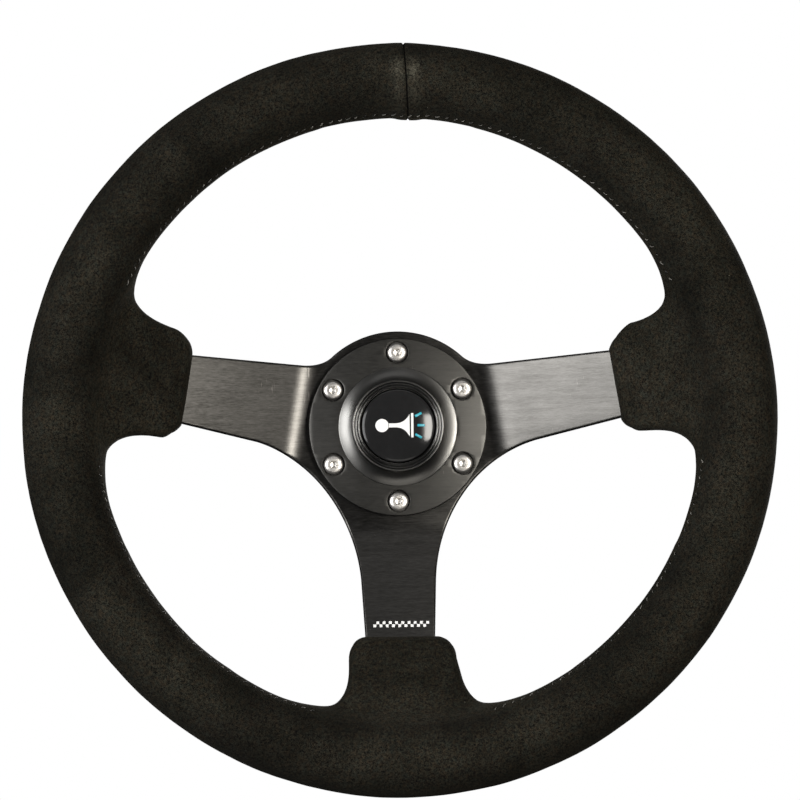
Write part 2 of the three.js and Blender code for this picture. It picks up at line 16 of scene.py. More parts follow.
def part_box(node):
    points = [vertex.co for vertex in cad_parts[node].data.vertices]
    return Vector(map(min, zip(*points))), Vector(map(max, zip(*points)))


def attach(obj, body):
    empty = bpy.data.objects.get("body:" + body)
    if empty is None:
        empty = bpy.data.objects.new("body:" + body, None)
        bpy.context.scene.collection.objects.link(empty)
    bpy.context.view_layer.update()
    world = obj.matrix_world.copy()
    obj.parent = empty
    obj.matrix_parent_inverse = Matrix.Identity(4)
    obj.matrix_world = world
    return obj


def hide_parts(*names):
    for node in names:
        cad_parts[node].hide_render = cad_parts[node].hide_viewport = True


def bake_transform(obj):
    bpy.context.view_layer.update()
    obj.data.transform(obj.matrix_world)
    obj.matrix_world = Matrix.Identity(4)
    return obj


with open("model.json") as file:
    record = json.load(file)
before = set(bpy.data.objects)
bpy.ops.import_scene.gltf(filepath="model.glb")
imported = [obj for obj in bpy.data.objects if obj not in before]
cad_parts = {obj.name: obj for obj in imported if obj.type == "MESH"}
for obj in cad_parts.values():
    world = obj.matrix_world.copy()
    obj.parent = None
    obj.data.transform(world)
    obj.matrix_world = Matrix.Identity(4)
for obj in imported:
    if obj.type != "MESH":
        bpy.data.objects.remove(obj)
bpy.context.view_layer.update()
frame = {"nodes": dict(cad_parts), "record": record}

MM = 0.001


# ---- sizes, mostly from the frame


def low(node):
    return [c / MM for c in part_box(node)[0]]


def high(node):
    return [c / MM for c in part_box(node)[1]]


GRIP_WIDTH = 35.0
GRIP_DEPTH = 31.0
RIM_OUTER = high("suede_right")[0]
RIM_RADIUS = RIM_OUTER - GRIP_WIDTH / 2
RIM_Y = (low("rim_hoop")[1] + high("rim_hoop")[1]) / 2

SEAM_X = 4.3
SEAM_LEAN = 0.05

PLATE_BACK = high("spoke_plate")[1]
PLATE_THICKNESS = 4.0
PLATE_FRONT = PLATE_BACK - PLATE_THICKNESS
PLATE_MIDDLE = PLATE_BACK - PLATE_THICKNESS / 2
HUB_RADIUS = 45.3
BEND = 47.0
BEND_SPREAD = 6.0
SPOKE_TIP = RIM_RADIUS - 6.3
SLOPE = (PLATE_MIDDLE - RIM_Y) / (RIM_RADIUS - BEND)
SIDE_ANGLE = math.radians(9.6)
SPOKE_ANGLES = {"right": SIDE_ANGLE, "left": math.pi - SIDE_ANGLE, "lower": 1.5 * math.pi}
BOLT_CIRCLE = 35.0
BOLT_HOLE = 2.7
BOLT_ANGLES = [math.pi / 2 + math.pi / 3 * k for k in range(6)]

RING_BACK = high("horn_ring")[1]
RING_FRONT = low("horn_ring")[1]
RING_OUTER = high("horn_ring")[0]
RING_INNER = 27.2


# ---- mesh tools


def placed(name, data):
    item = bpy.data.objects.new(name, data)
    bpy.context.scene.collection.objects.link(item)
    return item


def finish_object(name, mesh, body, material, replaces=(), sharp=60):
    """Links a mesh as a piece of the object: smooth, with its sharp edges, on its body."""
    mesh.name = name
    mesh.materials.clear()
    mesh.materials.append(material)
    mesh.polygons.foreach_set("use_smooth", [True] * len(mesh.polygons))
    mesh.set_sharp_from_angle(angle=math.radians(sharp))
    piece = placed(name, mesh)
    if body:
        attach(piece, body)
    if replaces:
        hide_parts(*replaces)
    return piece


def finer(node, finish, mesh, body, material, sharp):
    """Puts a finer piece, named after its finish, in the place of one CAD node."""
    return finish_object(f"{node}_{finish}", mesh, body, material, [node], sharp)


def mesh_from(points_mm, faces):
    mesh = bpy.data.meshes.new("shape")
    mesh.from_pydata([tuple(c * MM for c in p) for p in points_mm], [], [tuple(f) for f in faces])
    mesh.validate()
    return mesh


def opened(*meshes):
    """One editable copy of some meshes, or an empty one."""
    work = bmesh.new()
    for mesh in meshes:
        work.from_mesh(mesh)
    return work


def written(work, mesh=None):
    mesh = mesh or bpy.data.meshes.new("shape")
    work.to_mesh(mesh)
    work.free()
    return mesh


def sliced(work, place_mm, normal, parts=None):
    """Cuts edges into an opened mesh where a plane crosses it, or crosses the given parts."""
    parts = parts or work.verts[:] + work.edges[:] + work.faces[:]
    bmesh.ops.bisect_plane(work, geom=parts, plane_co=place_mm * MM, plane_no=normal)


def outward(mesh):
    """Makes every closed shell of a mesh face outwards."""
    work = opened(mesh)
    bmesh.ops.remove_doubles(work, verts=work.verts, dist=1e-7)
    bmesh.ops.recalc_face_normals(work, faces=work.faces)
    return written(work, mesh)


def lathe(profile, segments=128, ripple=None):
    """Spins a profile of (radius, y) points about Y. ripple(radius, y, angle) adds to the radius."""
    points = []
    rings = []
    for radius, y in profile:
        if radius < 1e-6:
            rings.append([len(points)])
            points.append((0.0, y, 0.0))
            continue
        ring = []
        for k in range(segments):
            angle = 2 * math.pi * k / segments
            r = radius + (ripple(radius, y, angle) if ripple else 0.0)
            ring.append(len(points))
            points.append((r * math.cos(angle), y, r * math.sin(angle)))
        rings.append(ring)
    closed = len(rings[0]) > 1 or len(rings[-1]) > 1
    faces = []
    for a, b in zip(rings, rings[1:] + ([rings[0]] if closed else [])):
        for k in range(segments):
            n = (k + 1) % segments
            if len(a) == 1 and len(b) > 1:
                faces.append((a[0], b[k], b[n]))
            elif len(b) == 1 and len(a) > 1:
                faces.append((a[k], a[n], b[0]))
            elif len(a) > 1:
                faces.append((a[k], a[n], b[n], b[k]))
    return outward(mesh_from(points, faces))


def arc(centre, radius, start, end, steps):
    """Points of a round corner in a profile or outline, angles in degrees."""
    angles = np.radians(np.linspace(start, end, steps + 1))
    return [(centre[0] + radius * math.cos(a), centre[1] + radius * math.sin(a)) for a in angles]


def circle(radius, centre=(0.0, 0.0), segments=128):
    return arc(centre, radius, 0, 360, segments)[:-1]


def around(radius, angle):
    return radius * math.cos(angle), radius * math.sin(angle)


def turned(u, v, angle):
    """The point in X and Z that lies u along and v across a direction."""
    return u * math.cos(angle) - v * math.sin(angle), u * math.sin(angle) + v * math.cos(angle)


def bolt_circles(radius, segments):
    return [circle(radius, around(BOLT_CIRCLE, a), segments) for a in BOLT_ANGLES]


def bezier(p0, p1, p2, p3, steps):
    t = np.linspace(0, 1, steps + 1)[:, None]
    p0, p1, p2, p3 = (np.array(p, float) for p in (p0, p1, p2, p3))
    curve = (1 - t) ** 3 * p0 + 3 * (1 - t) ** 2 * t * p1 + 3 * (1 - t) * t**2 * p2 + t**3 * p3
    return [tuple(p) for p in curve]


def flat_part(outlines, back_y, front_y, bevel, bevel_steps=1):
    """A flat piece with bevelled edges from outlines in X and Z; inner outlines are holes."""
    curve = bpy.data.curves.new("outline", "CURVE")
    curve.dimensions = "2D"
    curve.fill_mode = "BOTH"
    thickness = abs(back_y - front_y)
    curve.extrude = thickness / 2 - bevel
    curve.bevel_depth = bevel
    curve.bevel_resolution = bevel_steps
    curve.offset = -bevel
    for outline in outlines:
        spline = curve.splines.new("POLY")
        spline.points.add(len(outline) - 1)
        for point, (x, z) in zip(spline.points, outline):
            point.co = (x, z, 0.0, 1.0)
        spline.use_cyclic_u = True
    holder = placed("outline", curve)
    bpy.context.view_layer.update()
    graph = bpy.context.evaluated_depsgraph_get()
    mesh = bpy.data.meshes.new_from_object(holder.evaluated_get(graph))
    bpy.data.objects.remove(holder)
    bpy.data.curves.remove(curve)
    middle = (back_y + front_y) / 2
    mesh.transform(Matrix.Rotation(math.pi / 2, 4, "X"))
    mesh.transform(Matrix.Scale(MM, 4) @ Matrix.Translation((0, middle, 0)))
    return outward(mesh)


def join(meshes):
    work = opened(*meshes)
    for mesh in meshes:
        bpy.data.meshes.remove(mesh)
    return written(work)


def cut(mesh, cutter):
    """Takes one closed mesh away from another."""
    bodies = [placed("cut", m) for m in (mesh, cutter)]
    boolean = bodies[0].modifiers.new("cut", "BOOLEAN")
    boolean.operation = "DIFFERENCE"
    boolean.solver = "EXACT"
    boolean.use_self = True
    boolean.object = bodies[1]
    graph = bpy.context.evaluated_depsgraph_get()
    result = bpy.data.meshes.new_from_object(bodies[0].evaluated_get(graph))
    for body in bodies:
        bpy.data.objects.remove(body)
    return result


def moved(mesh, x, y, z):
    mesh.transform(Matrix.Translation((x * MM, y * MM, z * MM)))
    return mesh


def on_circle(mesh, radius, angle, y=0):
    """Moves a mesh made on the axis out to an angle of a circle round it."""
    x, z = around(radius, angle)
    return moved(mesh, x, y, z)


def turned_about_y(mesh, angle):
    """Turns a mesh made along +X towards an angle from +X to +Z."""
    mesh.transform(Matrix.Rotation(-angle, 4, "Y"))
    return mesh


def box_mesh(low_corner, high_corner, bevel=0.0):
    work = opened()
    bmesh.ops.create_cube(work, size=1.0)
    size = [h - l for l, h in zip(low_corner, high_corner)]
    middle = [(h + l) / 2 for l, h in zip(low_corner, high_corner)]
    for vertex in work.verts:
        vertex.co = Vector([(m + c * s) * MM for m, c, s in zip(middle, vertex.co, size)])
    if bevel:
        edges = work.edges[:]
        bmesh.ops.bevel(work, geom=edges, offset=bevel * MM, segments=2, affect="EDGES", profile=0.5)
    return written(work)


def tube(path, radius, sides=10):
    """A round bar along a path of points, with rounded-off ends."""
    path = np.array(path, float)
    ahead = np.roll(path, -1, 0) - np.roll(path, 1, 0)
    ahead[0] = path[1] - path[0]
    ahead[-1] = path[-1] - path[-2]
    ahead /= np.linalg.norm(ahead, axis=1)[:, None]
    up = np.tile(np.array([0.0, 1.0, 0.0]), (len(path), 1))
    along = np.abs((up * ahead).sum(1)) > 0.95
    up[along] = (1.0, 0.0, 0.0)
    side = np.cross(up, ahead)
    side /= np.linalg.norm(side, axis=1)[:, None]
    up = np.cross(ahead, side)
    points = []
    for p, s, u in zip(path, side, up):
        for k in range(sides):
            angle = 2 * math.pi * k / sides
            points.append(p + radius * (math.cos(angle) * s + math.sin(angle) * u))
    last = len(path) - 1
    faces = []
    for i in range(last):
        a, b = i * sides, (i + 1) * sides
        for k in range(sides):
            n = (k + 1) % sides
            faces.append((a + k, a + n, b + n, b + k))
    for i, sign in ((0, -1), (last, 1)):
        tip = len(points)
        points.append(path[i] + sign * ahead[i] * radius * 0.6)
        for k in range(sides):
            faces.append((i * sides + k, i * sides + (k + 1) % sides, tip))
    return points, faces


# ---- implicit surfaces


def surface_of(field, low_corner, high_corner, step):
    """Meshes the zero surface of field(points) with quads, and moves its points onto it."""
    axes = [np.arange(l, h + step, step) for l, h in zip(low_corner, high_corner)]
    shape = tuple(len(a) for a in axes)
    grid = np.stack(np.meshgrid(*axes, indexing="ij"), -1).reshape(-1, 3)
    values = field(grid).reshape(shape)
    cells = tuple(n - 1 for n in shape)
    total = np.zeros((cells[0] * cells[1] * cells[2], 3))
    count = np.zeros(len(total))
    quads = []
    for axis in range(3):
        first = np.moveaxis(values, axis, 0)[:-1]
        second = np.moveaxis(values, axis, 0)[1:]
        crossing = (first < 0) != (second < 0)
        places = np.argwhere(crossing)
        a, b = first[crossing], second[crossing]
        share = a / (a - b)
        index = np.zeros_like(places)
        others = [k for k in range(3) if k != axis]
        index[:, axis] = places[:, 0]
        index[:, others[0]] = places[:, 1]
        index[:, others[1]] = places[:, 2]
        inner = np.ones(len(index), bool)
        for other in others:
            inner &= (index[:, other] > 0) & (index[:, other] < shape[other] - 1)
        index, share, starts_in = index[inner], share[inner], (a < 0)[inner]
        point = index.astype(float)
        point[:, axis] += share
        ids = []
        for back0, back1 in ((1, 1), (0, 1), (0, 0), (1, 0)):
            cell = index.copy()
            cell[:, others[0]] -= back0
            cell[:, others[1]] -= back1
            flat = np.ravel_multi_index(cell.T, cells)
            np.add.at(total, flat, point)
            np.add.at(count, flat, 1)
            ids.append(flat)
        quad = np.stack(ids, 1)
        flip = starts_in if axis == 1 else ~starts_in
        quad[flip] = quad[flip][:, ::-1]
        quads.append(quad)
    used = np.flatnonzero(count)
    points = total[used] / count[used][:, None] * step + np.array(low_corner)
    number = np.full(len(count), -1)
    number[used] = np.arange(len(used))
    faces = number[np.concatenate(quads)]
    for _ in range(3):
        points = relaxed(points, faces)
        points = onto(field, points, 2)
    return points, faces


def relaxed(points, faces):
    """Moves each point half way to the middle of its neighbours."""
    total = np.zeros_like(points)
    count = np.zeros(len(points))
    for k in range(4):
        a, b = faces[:, k], faces[:, (k + 1) % 4]
        np.add.at(total, a, points[b])
        np.add.at(total, b, points[a])
        np.add.at(count, a, 1)
        np.add.at(count, b, 1)
    return (points + total / count[:, None]) / 2


def slope_of(field, points, reach=0.25):
    value = np.zeros_like(points)
    for axis in range(3):
        shift = np.zeros(3)
        shift[axis] = reach
        value[:, axis] = (field(points + shift) - field(points - shift)) / (2 * reach)
    return value


def onto(field, points, rounds=3):
    """Moves points onto the zero surface of a field."""
    for _ in range(rounds):
        slope = slope_of(field, points)
        length = np.maximum((slope**2).sum(1), 0.05)
        points = points - slope * (field(points) / length)[:, None]
    return points


def smooth_union(a, b, blend):
    mix = np.clip(0.5 + 0.5 * (b - a) / blend, 0, 1)
    return b + (a - b) * mix - blend * mix * (1 - mix)


# ---- material tools


class Nodes:
    """A material's node tree, built a node at a time."""

    def __init__(self, name):
        self.material = bpy.data.materials.new(name)
        self.material.use_nodes = True
        self.tree = self.material.node_tree
        self.shader = self.tree.nodes["Principled BSDF"]
        self.place = self.add("ShaderNodeTexCoord").outputs["Object"]

    def add(self, kind, inputs=None, **settings):
        node = self.tree.nodes.new(kind)
        for key, value in settings.items():
            setattr(node, key, value)
        for key, value in (inputs or {}).items():
            self.feed(node.inputs[key], value)
        return node

    def feed(self, socket, value):
        if isinstance(value, bpy.types.NodeSocket):
            self.tree.links.new(value, socket)
        else:
            socket.default_value = value

    def stretched(self, scale, rotation=(0, 0, 0)):
        inputs = {"Vector": self.place, "Scale": scale, "Rotation": rotation}
        return self.add("ShaderNodeMapping", inputs).outputs["Vector"]

    def noise(self, scale, detail, rough, at=None, distortion=0.0):
        inputs = {"Vector": at or self.place, "Scale": scale, "Detail": detail}
        inputs.update({"Roughness": rough, "Distortion": distortion})
        return self.add("ShaderNodeTexNoise", inputs).outputs["Fac"]

    def span(self, value, from_low, from_high, to_low=0.0, to_high=1.0):
        """A value taken from one range to another, and kept inside it."""
        inputs = {"Value": value, "From Min": from_low, "From Max": from_high}
        inputs.update({"To Min": to_low, "To Max": to_high})
        return self.add("ShaderNodeMapRange", inputs).outputs["Result"]

    def math(self, operation, a, b=0.0):
        node = self.add("ShaderNodeMath", operation=operation)
        self.feed(node.inputs[0], a)
        self.feed(node.inputs[1], b)
        return node.outputs[0]

    def sum(self, a, b):
        return self.math("ADD", a, b)

    def product(self, a, b):
        return self.math("MULTIPLY", a, b)

    def apart(self, a, b):
        """The distance between two values."""
        return self.math("ABSOLUTE", self.math("SUBTRACT", a, b))

    def shared(self, a, share, b):
        """Two values added, with a share of the first and the rest of the second."""
        return self.sum(self.product(a, share), self.product(b, 1 - share))

    def axes(self, vector):
        return self.add("ShaderNodeSeparateXYZ", {"Vector": vector}).outputs

    def from_axis(self, x, z):
        """Distance from the wheel's axis."""
        return self.math("SQRT", self.sum(self.product(x, x), self.product(z, z)))

    def mix(self, factor, a, b, how="MIX"):
        node = self.add("ShaderNodeMix", data_type="RGBA", blend_type=how)
        self.feed(node.inputs["Factor"], factor)
        sockets = [i for i in node.inputs if i.type == "RGBA"]
        for socket, value in zip(sockets, (a, b)):
            self.feed(socket, (*value, 1.0) if isinstance(value, tuple) else value)
        return next(o for o in node.outputs if o.type == "RGBA")

    def scaled(self, color, level):
        """A colour made lighter or darker by a level round 1."""
        grey = self.add("ShaderNodeCombineColor")
        for channel in grey.inputs:
            self.feed(channel, level)
        return self.mix(1.0, color, grey.outputs[0], "MULTIPLY")

    def bump(self, height, strength, distance, normal=None):
        inputs = {"Height": height, "Strength": strength, "Distance": distance}
        if normal:
            inputs["Normal"] = normal
        return self.add("ShaderNodeBump", inputs).outputs["Normal"]

    def shade(self, **inputs):
        """Sets the shader's inputs, which are named here like base_color for Base Color."""
        for key, value in inputs.items():
            if isinstance(value, tuple):
                value = (*value, 1.0)
            name = key.replace("_", " ").title().replace("Ior", "IOR")
            self.feed(self.shader.inputs[name], value)
        return self.material


def suede_material():
    n = Nodes("suede")
    cloud = n.noise(22, 3, 0.6, distortion=0.5)
    patch = n.noise(120, 3, 0.6)
    nap = n.noise(1700, 3, 0.8)
    clump = n.noise(800, 2, 0.6)
    tone = n.shared(cloud, 0.65, patch)
    dark = (0.0062, 0.0056, 0.0036)
    light = (0.0125, 0.0112, 0.0078)
    color = n.mix(n.span(tone, 0.36, 0.64), dark, light)
    hue = n.span(n.noise(420, 3, 0.7), 0.35, 0.65)
    tint = n.mix(hue, (1.12, 0.96, 0.86), (0.86, 1.02, 1.12))
    color = n.mix(1.0, color, tint, "MULTIPLY")
    grain = n.shared(nap, 0.65, clump)
    level = n.span(grain, 0.4, 0.6, 0.0, 2.1)
    color = n.scaled(color, level)
    x, y, z = n.axes(n.place)
    # painted light and shade: the rim's crest is painted lighter than its flanks, with slow random
    # changes, and the lobes inside 139 mm from the axis are made a fixed step lighter
    radius = n.from_axis(x, z)
    flank = n.apart(radius, (RIM_RADIUS + 1) * MM)
    painted_crest_shading = n.span(flank, 0.003, 0.0165, 1.1, 0.72)
    painted_crest_shading = n.product(painted_crest_shading, n.span(cloud, 0.35, 0.65, 0.82, 1.18))
    painted_crest_shading = n.sum(painted_crest_shading, n.span(radius, 0.139, 0.144, 0.55, 0.0))
    color = n.scaled(color, painted_crest_shading)
    # painted sheen: the nap on both sides of the seam at twelve o'clock is painted lighter in two
    # patches, as painted highlights
    lean = n.product(n.math("SUBTRACT", RIM_RADIUS * MM, z), SEAM_LEAN)
    seam = n.apart(n.math("SUBTRACT", x, SEAM_X * MM), lean)
    at_top = n.math("GREATER_THAN", z, 0.1)
    beside = n.span(n.apart(seam, 0.0035), 0.0, 0.0048, 1.0, 0.0)
    upper = n.span(n.apart(z, 0.1612), 0.0, 0.0075, 1.0, 0.0)
    lower = n.span(n.apart(z, 0.152), 0.002, 0.012, 0.25, 0.0)
    beside = n.product(beside, n.math("MAXIMUM", upper, lower))
    # the mask called brushed here is this painted sheen
    brushed = n.product(n.product(beside, n.span(patch, 0.3, 0.7, 0.55, 1.0)), at_top)
    color = n.mix(n.product(brushed, 0.65), color, n.scaled((0.085, 0.079, 0.06), level))
    # the sewn line, painted near black: painted shade in the seam's crease, narrower than the mesh can
    # show
    line = n.product(n.span(seam, 0.0002, 0.00045, 1.0, 0.0), at_top)
    color = n.mix(line, color, (0.0012, 0.0011, 0.001))
    # a little lint
    cells = n.add("ShaderNodeTexVoronoi", {"Vector": n.place, "Scale": 210.0})
    speck = n.sum(cells.outputs["Distance"], n.product(nap, 0.12))
    chance = n.add("ShaderNodeSeparateColor", {"Color": cells.outputs["Color"]}).outputs[0]
    rare = n.math("GREATER_THAN", chance, 0.95)
    speck = n.product(n.math("LESS_THAN", speck, 0.105), rare)
    color = n.mix(n.product(speck, 0.6), color, (0.26, 0.25, 0.2))
    return n.shade(
        base_color=color,
        roughness=n.span(tone, 0.3, 0.7, 0.96, 0.86),
        normal=n.bump(grain, 0.6, 0.00025, n.bump(patch, 0.2, 0.0005)),
        sheen_weight=0.02,
        sheen_roughness=0.5,
        sheen_tint=(0.85, 0.8, 0.66),
        specular_ior_level=0.1,
    )


def brushed_material(name, dark, light, roughness, spread):
    """Sheet brushed from side to side, with a few scratches."""
    n = Nodes(name)
    fine = 2600
    lines = n.noise(1.0, 4, 0.7, n.stretched((fine / 9, fine / 9, fine)))
    wide = n.noise(1.0, 3, 0.6, n.stretched((fine / 60, fine / 60, fine / 5)))
    cloud = n.noise(38, 3, 0.6)
    tone = n.shared(lines, 0.7, wide)
    color = n.mix(n.span(tone, 0.34, 0.66), dark, light)
    rough = n.sum(n.span(lines, 0.3, 0.7, -0.05, 0.06), n.span(cloud, 0.3, 0.7, -0.02, 0.05))
    rough = n.sum(rough, roughness)
    strokes = n.noise(1.0, 2, 0.5, n.stretched((1300, 1300, 60), (0, 0.8, 0)), 0.8)
    rare = n.span(n.noise(55, 2, 0.5), 0.62, 0.68)
    mark = n.product(n.span(strokes, 0.68, 0.72), rare)
    color = n.mix(n.product(mark, 0.5), color, (0.36, 0.34, 0.32))
    # the edges get no brushed pattern: where the surface turns away from Y it is painted near black,
    # painted shade for the dark the bevels reflect, and made rougher
    facing = n.axes(n.add("ShaderNodeTexCoord").outputs["Normal"])
    edge = n.span(n.math("ABSOLUTE", facing["Y"]), 0.62, 0.8, 1.0, 0.0)
    color = n.mix(edge, color, (0.012, 0.0115, 0.011))
    upright = n.add("ShaderNodeCombineXYZ", {"X": 0.0, "Y": 0.0, "Z": 1.0}).outputs[0]
    return n.shade(
        base_color=color,
        metallic=1.0,
        roughness=n.math("MAXIMUM", rough, n.product(edge, 0.45)),
        anisotropic=spread,
        tangent=upright,
        normal=n.bump(lines, 0.1, 0.00006),
    )


def turned_material(name, dark, light, roughness):
    """Metal with fine turning marks round the Y axis."""
    n = Nodes(name)
    x, y, z = n.axes(n.place)
    radius = n.from_axis(x, z)
    line = {"X": n.sum(radius, y), "Y": n.product(radius, 0.7)}
    marks = n.noise(2200, 3, 0.7, n.add("ShaderNodeCombineXYZ", line).outputs[0])
    cloud = n.noise(45, 3, 0.6)
    rough = n.sum(n.span(marks, 0.3, 0.7, -0.05, 0.06), n.span(cloud, 0.3, 0.7, 0.0, 0.08))
    tangent = n.add("ShaderNodeTangent", direction_type="RADIAL", axis="Y").outputs[0]
    return n.shade(
        base_color=n.mix(n.span(marks, 0.35, 0.65), dark, light),
        metallic=1.0,
        roughness=n.sum(rough, roughness),
        anisotropic=0.6,
        tangent=tangent,
        normal=n.bump(marks, 0.1, 0.00008),
    )


def speckled_material(name, dark, light, roughness, metallic, scale, bump):
    """Plastic, cast or plated finish: a fine even texture with slow changes of tone."""
    n = Nodes(name)
    fine = n.noise(scale, 3, 0.6)
    cloud = n.noise(40, 3, 0.6)
    tone = n.shared(fine, 0.4, cloud)
    return n.shade(
        base_color=n.mix(n.span(tone, 0.35, 0.65), dark, light),
        metallic=metallic,
        roughness=n.span(cloud, 0.3, 0.7, roughness * 0.85, roughness * 1.2),
        normal=n.bump(fine, bump, 0.0001),
    )


def thread_material():
    n = Nodes("sewing_thread")
    twist = n.add("ShaderNodeTexWave", {"Vector": n.place, "Scale": 900.0, "Distortion": 2.0})
    color = n.mix(twist.outputs["Fac"], (0.05, 0.048, 0.042), (0.2, 0.19, 0.17))
    # the thread is darkened or lightened in random patches
    patchy_tone = n.span(n.noise(160, 2, 0.6), 0.42, 0.6, 0.06, 1.3)
    normal = n.bump(twist.outputs["Fac"], 0.4, 0.0002)
    return n.shade(base_color=n.scaled(color, patchy_tone), roughness=0.4, normal=normal)


SUEDE = suede_material()
ANODISED = brushed_material(
    "black_anodised_brushed", (0.056, 0.054, 0.05), (0.122, 0.118, 0.112), 0.33, 0.5
)
RING_METAL = brushed_material(
    "black_ring_brushed", (0.074, 0.072, 0.068), (0.1, 0.098, 0.092), 0.42, 0.3
)
BEZEL_METAL = speckled_material(
    "black_satin_bezel", (0.15, 0.148, 0.142), (0.178, 0.175, 0.168), 0.3, 1.0, 1600, 0.06
)
TRIM_METAL = speckled_material(
    "black_trim_metal", (0.09, 0.09, 0.088), (0.13, 0.128, 0.124), 0.22, 1.0, 1400, 0.05
)
GLOSS_BLACK = speckled_material(
    "gloss_black_cap", (0.013, 0.013, 0.0135), (0.018, 0.018, 0.0185), 0.12, 0.0, 500, 0.015
)
GLOSS_BLACK.node_tree.nodes["Principled BSDF"].inputs["Specular IOR Level"].default_value = 0.3
MARK_WHITE = speckled_material("mark_white", (0.9, 0.9, 0.9), (0.97, 0.97, 0.96), 0.35, 0.0, 800, 0.05)
MARK_CYAN = speckled_material("mark_cyan", (0.02, 0.36, 0.47), (0.03, 0.46, 0.58), 0.3, 0.0, 800, 0.05)
SCREW_STEEL = speckled_material(
    "polished_screw_steel", (0.78, 0.75, 0.71), (0.98, 0.95, 0.91), 0.36, 1.0, 1200, 0.25
)
ALUMINIUM = turned_material("turned_aluminium", (0.5, 0.51, 0.53), (0.66, 0.67, 0.69), 0.24)
COLLAR_BLACK = turned_material("turned_black_anodised", (0.035, 0.035, 0.037), (0.06, 0.06, 0.063), 0.3)
STEEL = turned_material("turned_steel", (0.42, 0.42, 0.43), (0.58, 0.58, 0.59), 0.26)
BALL_STEEL = speckled_material(
    "polished_ball_steel", (0.6, 0.6, 0.61), (0.7, 0.7, 0.71), 0.09, 1.0, 700, 0.02
)
SPRING_STEEL = speckled_material(
    "spring_steel", (0.3, 0.3, 0.31), (0.46, 0.46, 0.48), 0.28, 1.0, 900, 0.1
)
BRASS = speckled_material("brass", (0.52, 0.36, 0.13), (0.68, 0.5, 0.2), 0.25, 1.0, 800, 0.08)
BLACK_PLASTIC = speckled_material(
    "moulded_black_plastic", (0.012, 0.012, 0.012), (0.022, 0.022, 0.022), 0.5, 0.0, 1500, 0.3
)
FOAM = speckled_material(
    "moulded_foam", (0.02, 0.02, 0.02), (0.045, 0.045, 0.045), 0.95, 0.0, 1200, 0.8
)
THREAD = thread_material()

SLOT_MATERIALS = {
    "black_anodised": ANODISED,
    "satin_ring": RING_METAL,
    "suede": SUEDE,
    "foam": FOAM,
    "steel": STEEL,
    "screw_steel": SCREW_STEEL,
    "spring_steel": SPRING_STEEL,
    "machined_aluminium": ALUMINIUM,
    "gloss_black": GLOSS_BLACK,
    "black_plastic": BLACK_PLASTIC,
    "brass": BRASS,
}


def dress_cad_nodes():
    """Gives every carried-over CAD node the material of its slot."""
    slots = {s["node"]: s["material_slot"] for s in frame["record"]["subparts"]}
    for name, node in frame["nodes"].items():
        node.data.materials.clear()
        node.data.materials.append(SLOT_MATERIALS[slots[name]])


# ---- spoke plate


def spoke_lift(u):
    """How far a spoke has risen towards the driver at a distance u from the axis, in plan."""
    t = np.clip((u - (BEND - BEND_SPREAD)) / (2 * BEND_SPREAD), 0, 1)
    beyond = np.maximum(u - (BEND + BEND_SPREAD), 0)
    return SLOPE * (BEND_SPREAD * t**2 + beyond)


def spoke_steepness(u):
    return SLOPE * np.clip((u - (BEND - BEND_SPREAD)) / (2 * BEND_SPREAD), 0, 1)


def along_spokes(x, z):
    """Distance out along each spoke in plan, and the largest of the three."""
    reach = [x * math.cos(a) + z * math.sin(a) for a in SPOKE_ANGLES.values()]
    return np.max(reach, axis=0)


def half_outline(near_arm, near_spoke, root, tip):
    """Half of the plate's outline on the +X side, from twelve o'clock round to six o'clock.

    The points near_arm and near_spoke pull the long sweep between the arm and the lower spoke,
    whose half width goes from root to tip.
    """
    hub_end = 47
    top = turned(48, 21.9, SIDE_ANGLE)
    low_root = turned(64, -17.6, SIDE_ANGLE)
    points = arc((0, 0), HUB_RADIUS, 90, hub_end, 24)
    fillet = (35.4, 29.3)
    start = around(HUB_RADIUS, math.radians(hub_end))
    near_start = [s + (f - s) * 2 / 3 for s, f in zip(start, fillet)]
    near_top = [t + (f - t) * 2 / 3 for t, f in zip(top, fillet)]
    points += bezier(start, near_start, near_top, top, 12)[1:]
    points += [turned(SPOKE_TIP, 11.3, SIDE_ANGLE), turned(SPOKE_TIP, -13.5, SIDE_ANGLE)]
    points += bezier(low_root, near_arm, near_spoke, (root, -72.0), 40)
    points.append((tip, -SPOKE_TIP))
    return points


def build_spoke_plate():
    right = half_outline((40.2, -12.4), (18.7, -38.0), 16.9, 13.6)
    left_side = half_outline((41.7, -13.6), (20.8, -39.4), 18.2, 14.2)
    left = [(-x, z) for x, z in reversed(left_side)]
    holes = [circle(23.0, segments=72), *bolt_circles(BOLT_HOLE, 24)]
    mesh = flat_part([right + left[:-1], *holes], PLATE_BACK, PLATE_FRONT, 1.25, 3)
    work = opened(mesh)
    stations = np.linspace(BEND - BEND_SPREAD, BEND + BEND_SPREAD, 13)
    for angle in SPOKE_ANGLES.values():
        normal = Vector((math.cos(angle), 0, math.sin(angle)))
        for u in stations:
            sliced(work, normal * u, normal)
    for vertex in work.verts:
        x, y, z = vertex.co / MM
        u = along_spokes(x, z)
        thicker = math.hypot(1, spoke_steepness(u))
        vertex.co.y = (PLATE_MIDDLE + (y - PLATE_MIDDLE) * thicker - spoke_lift(u)) * MM
    written(work, mesh)
    finer("spoke_plate", "brushed", mesh, "wheel", ANODISED, 35)


# ---- suede grip

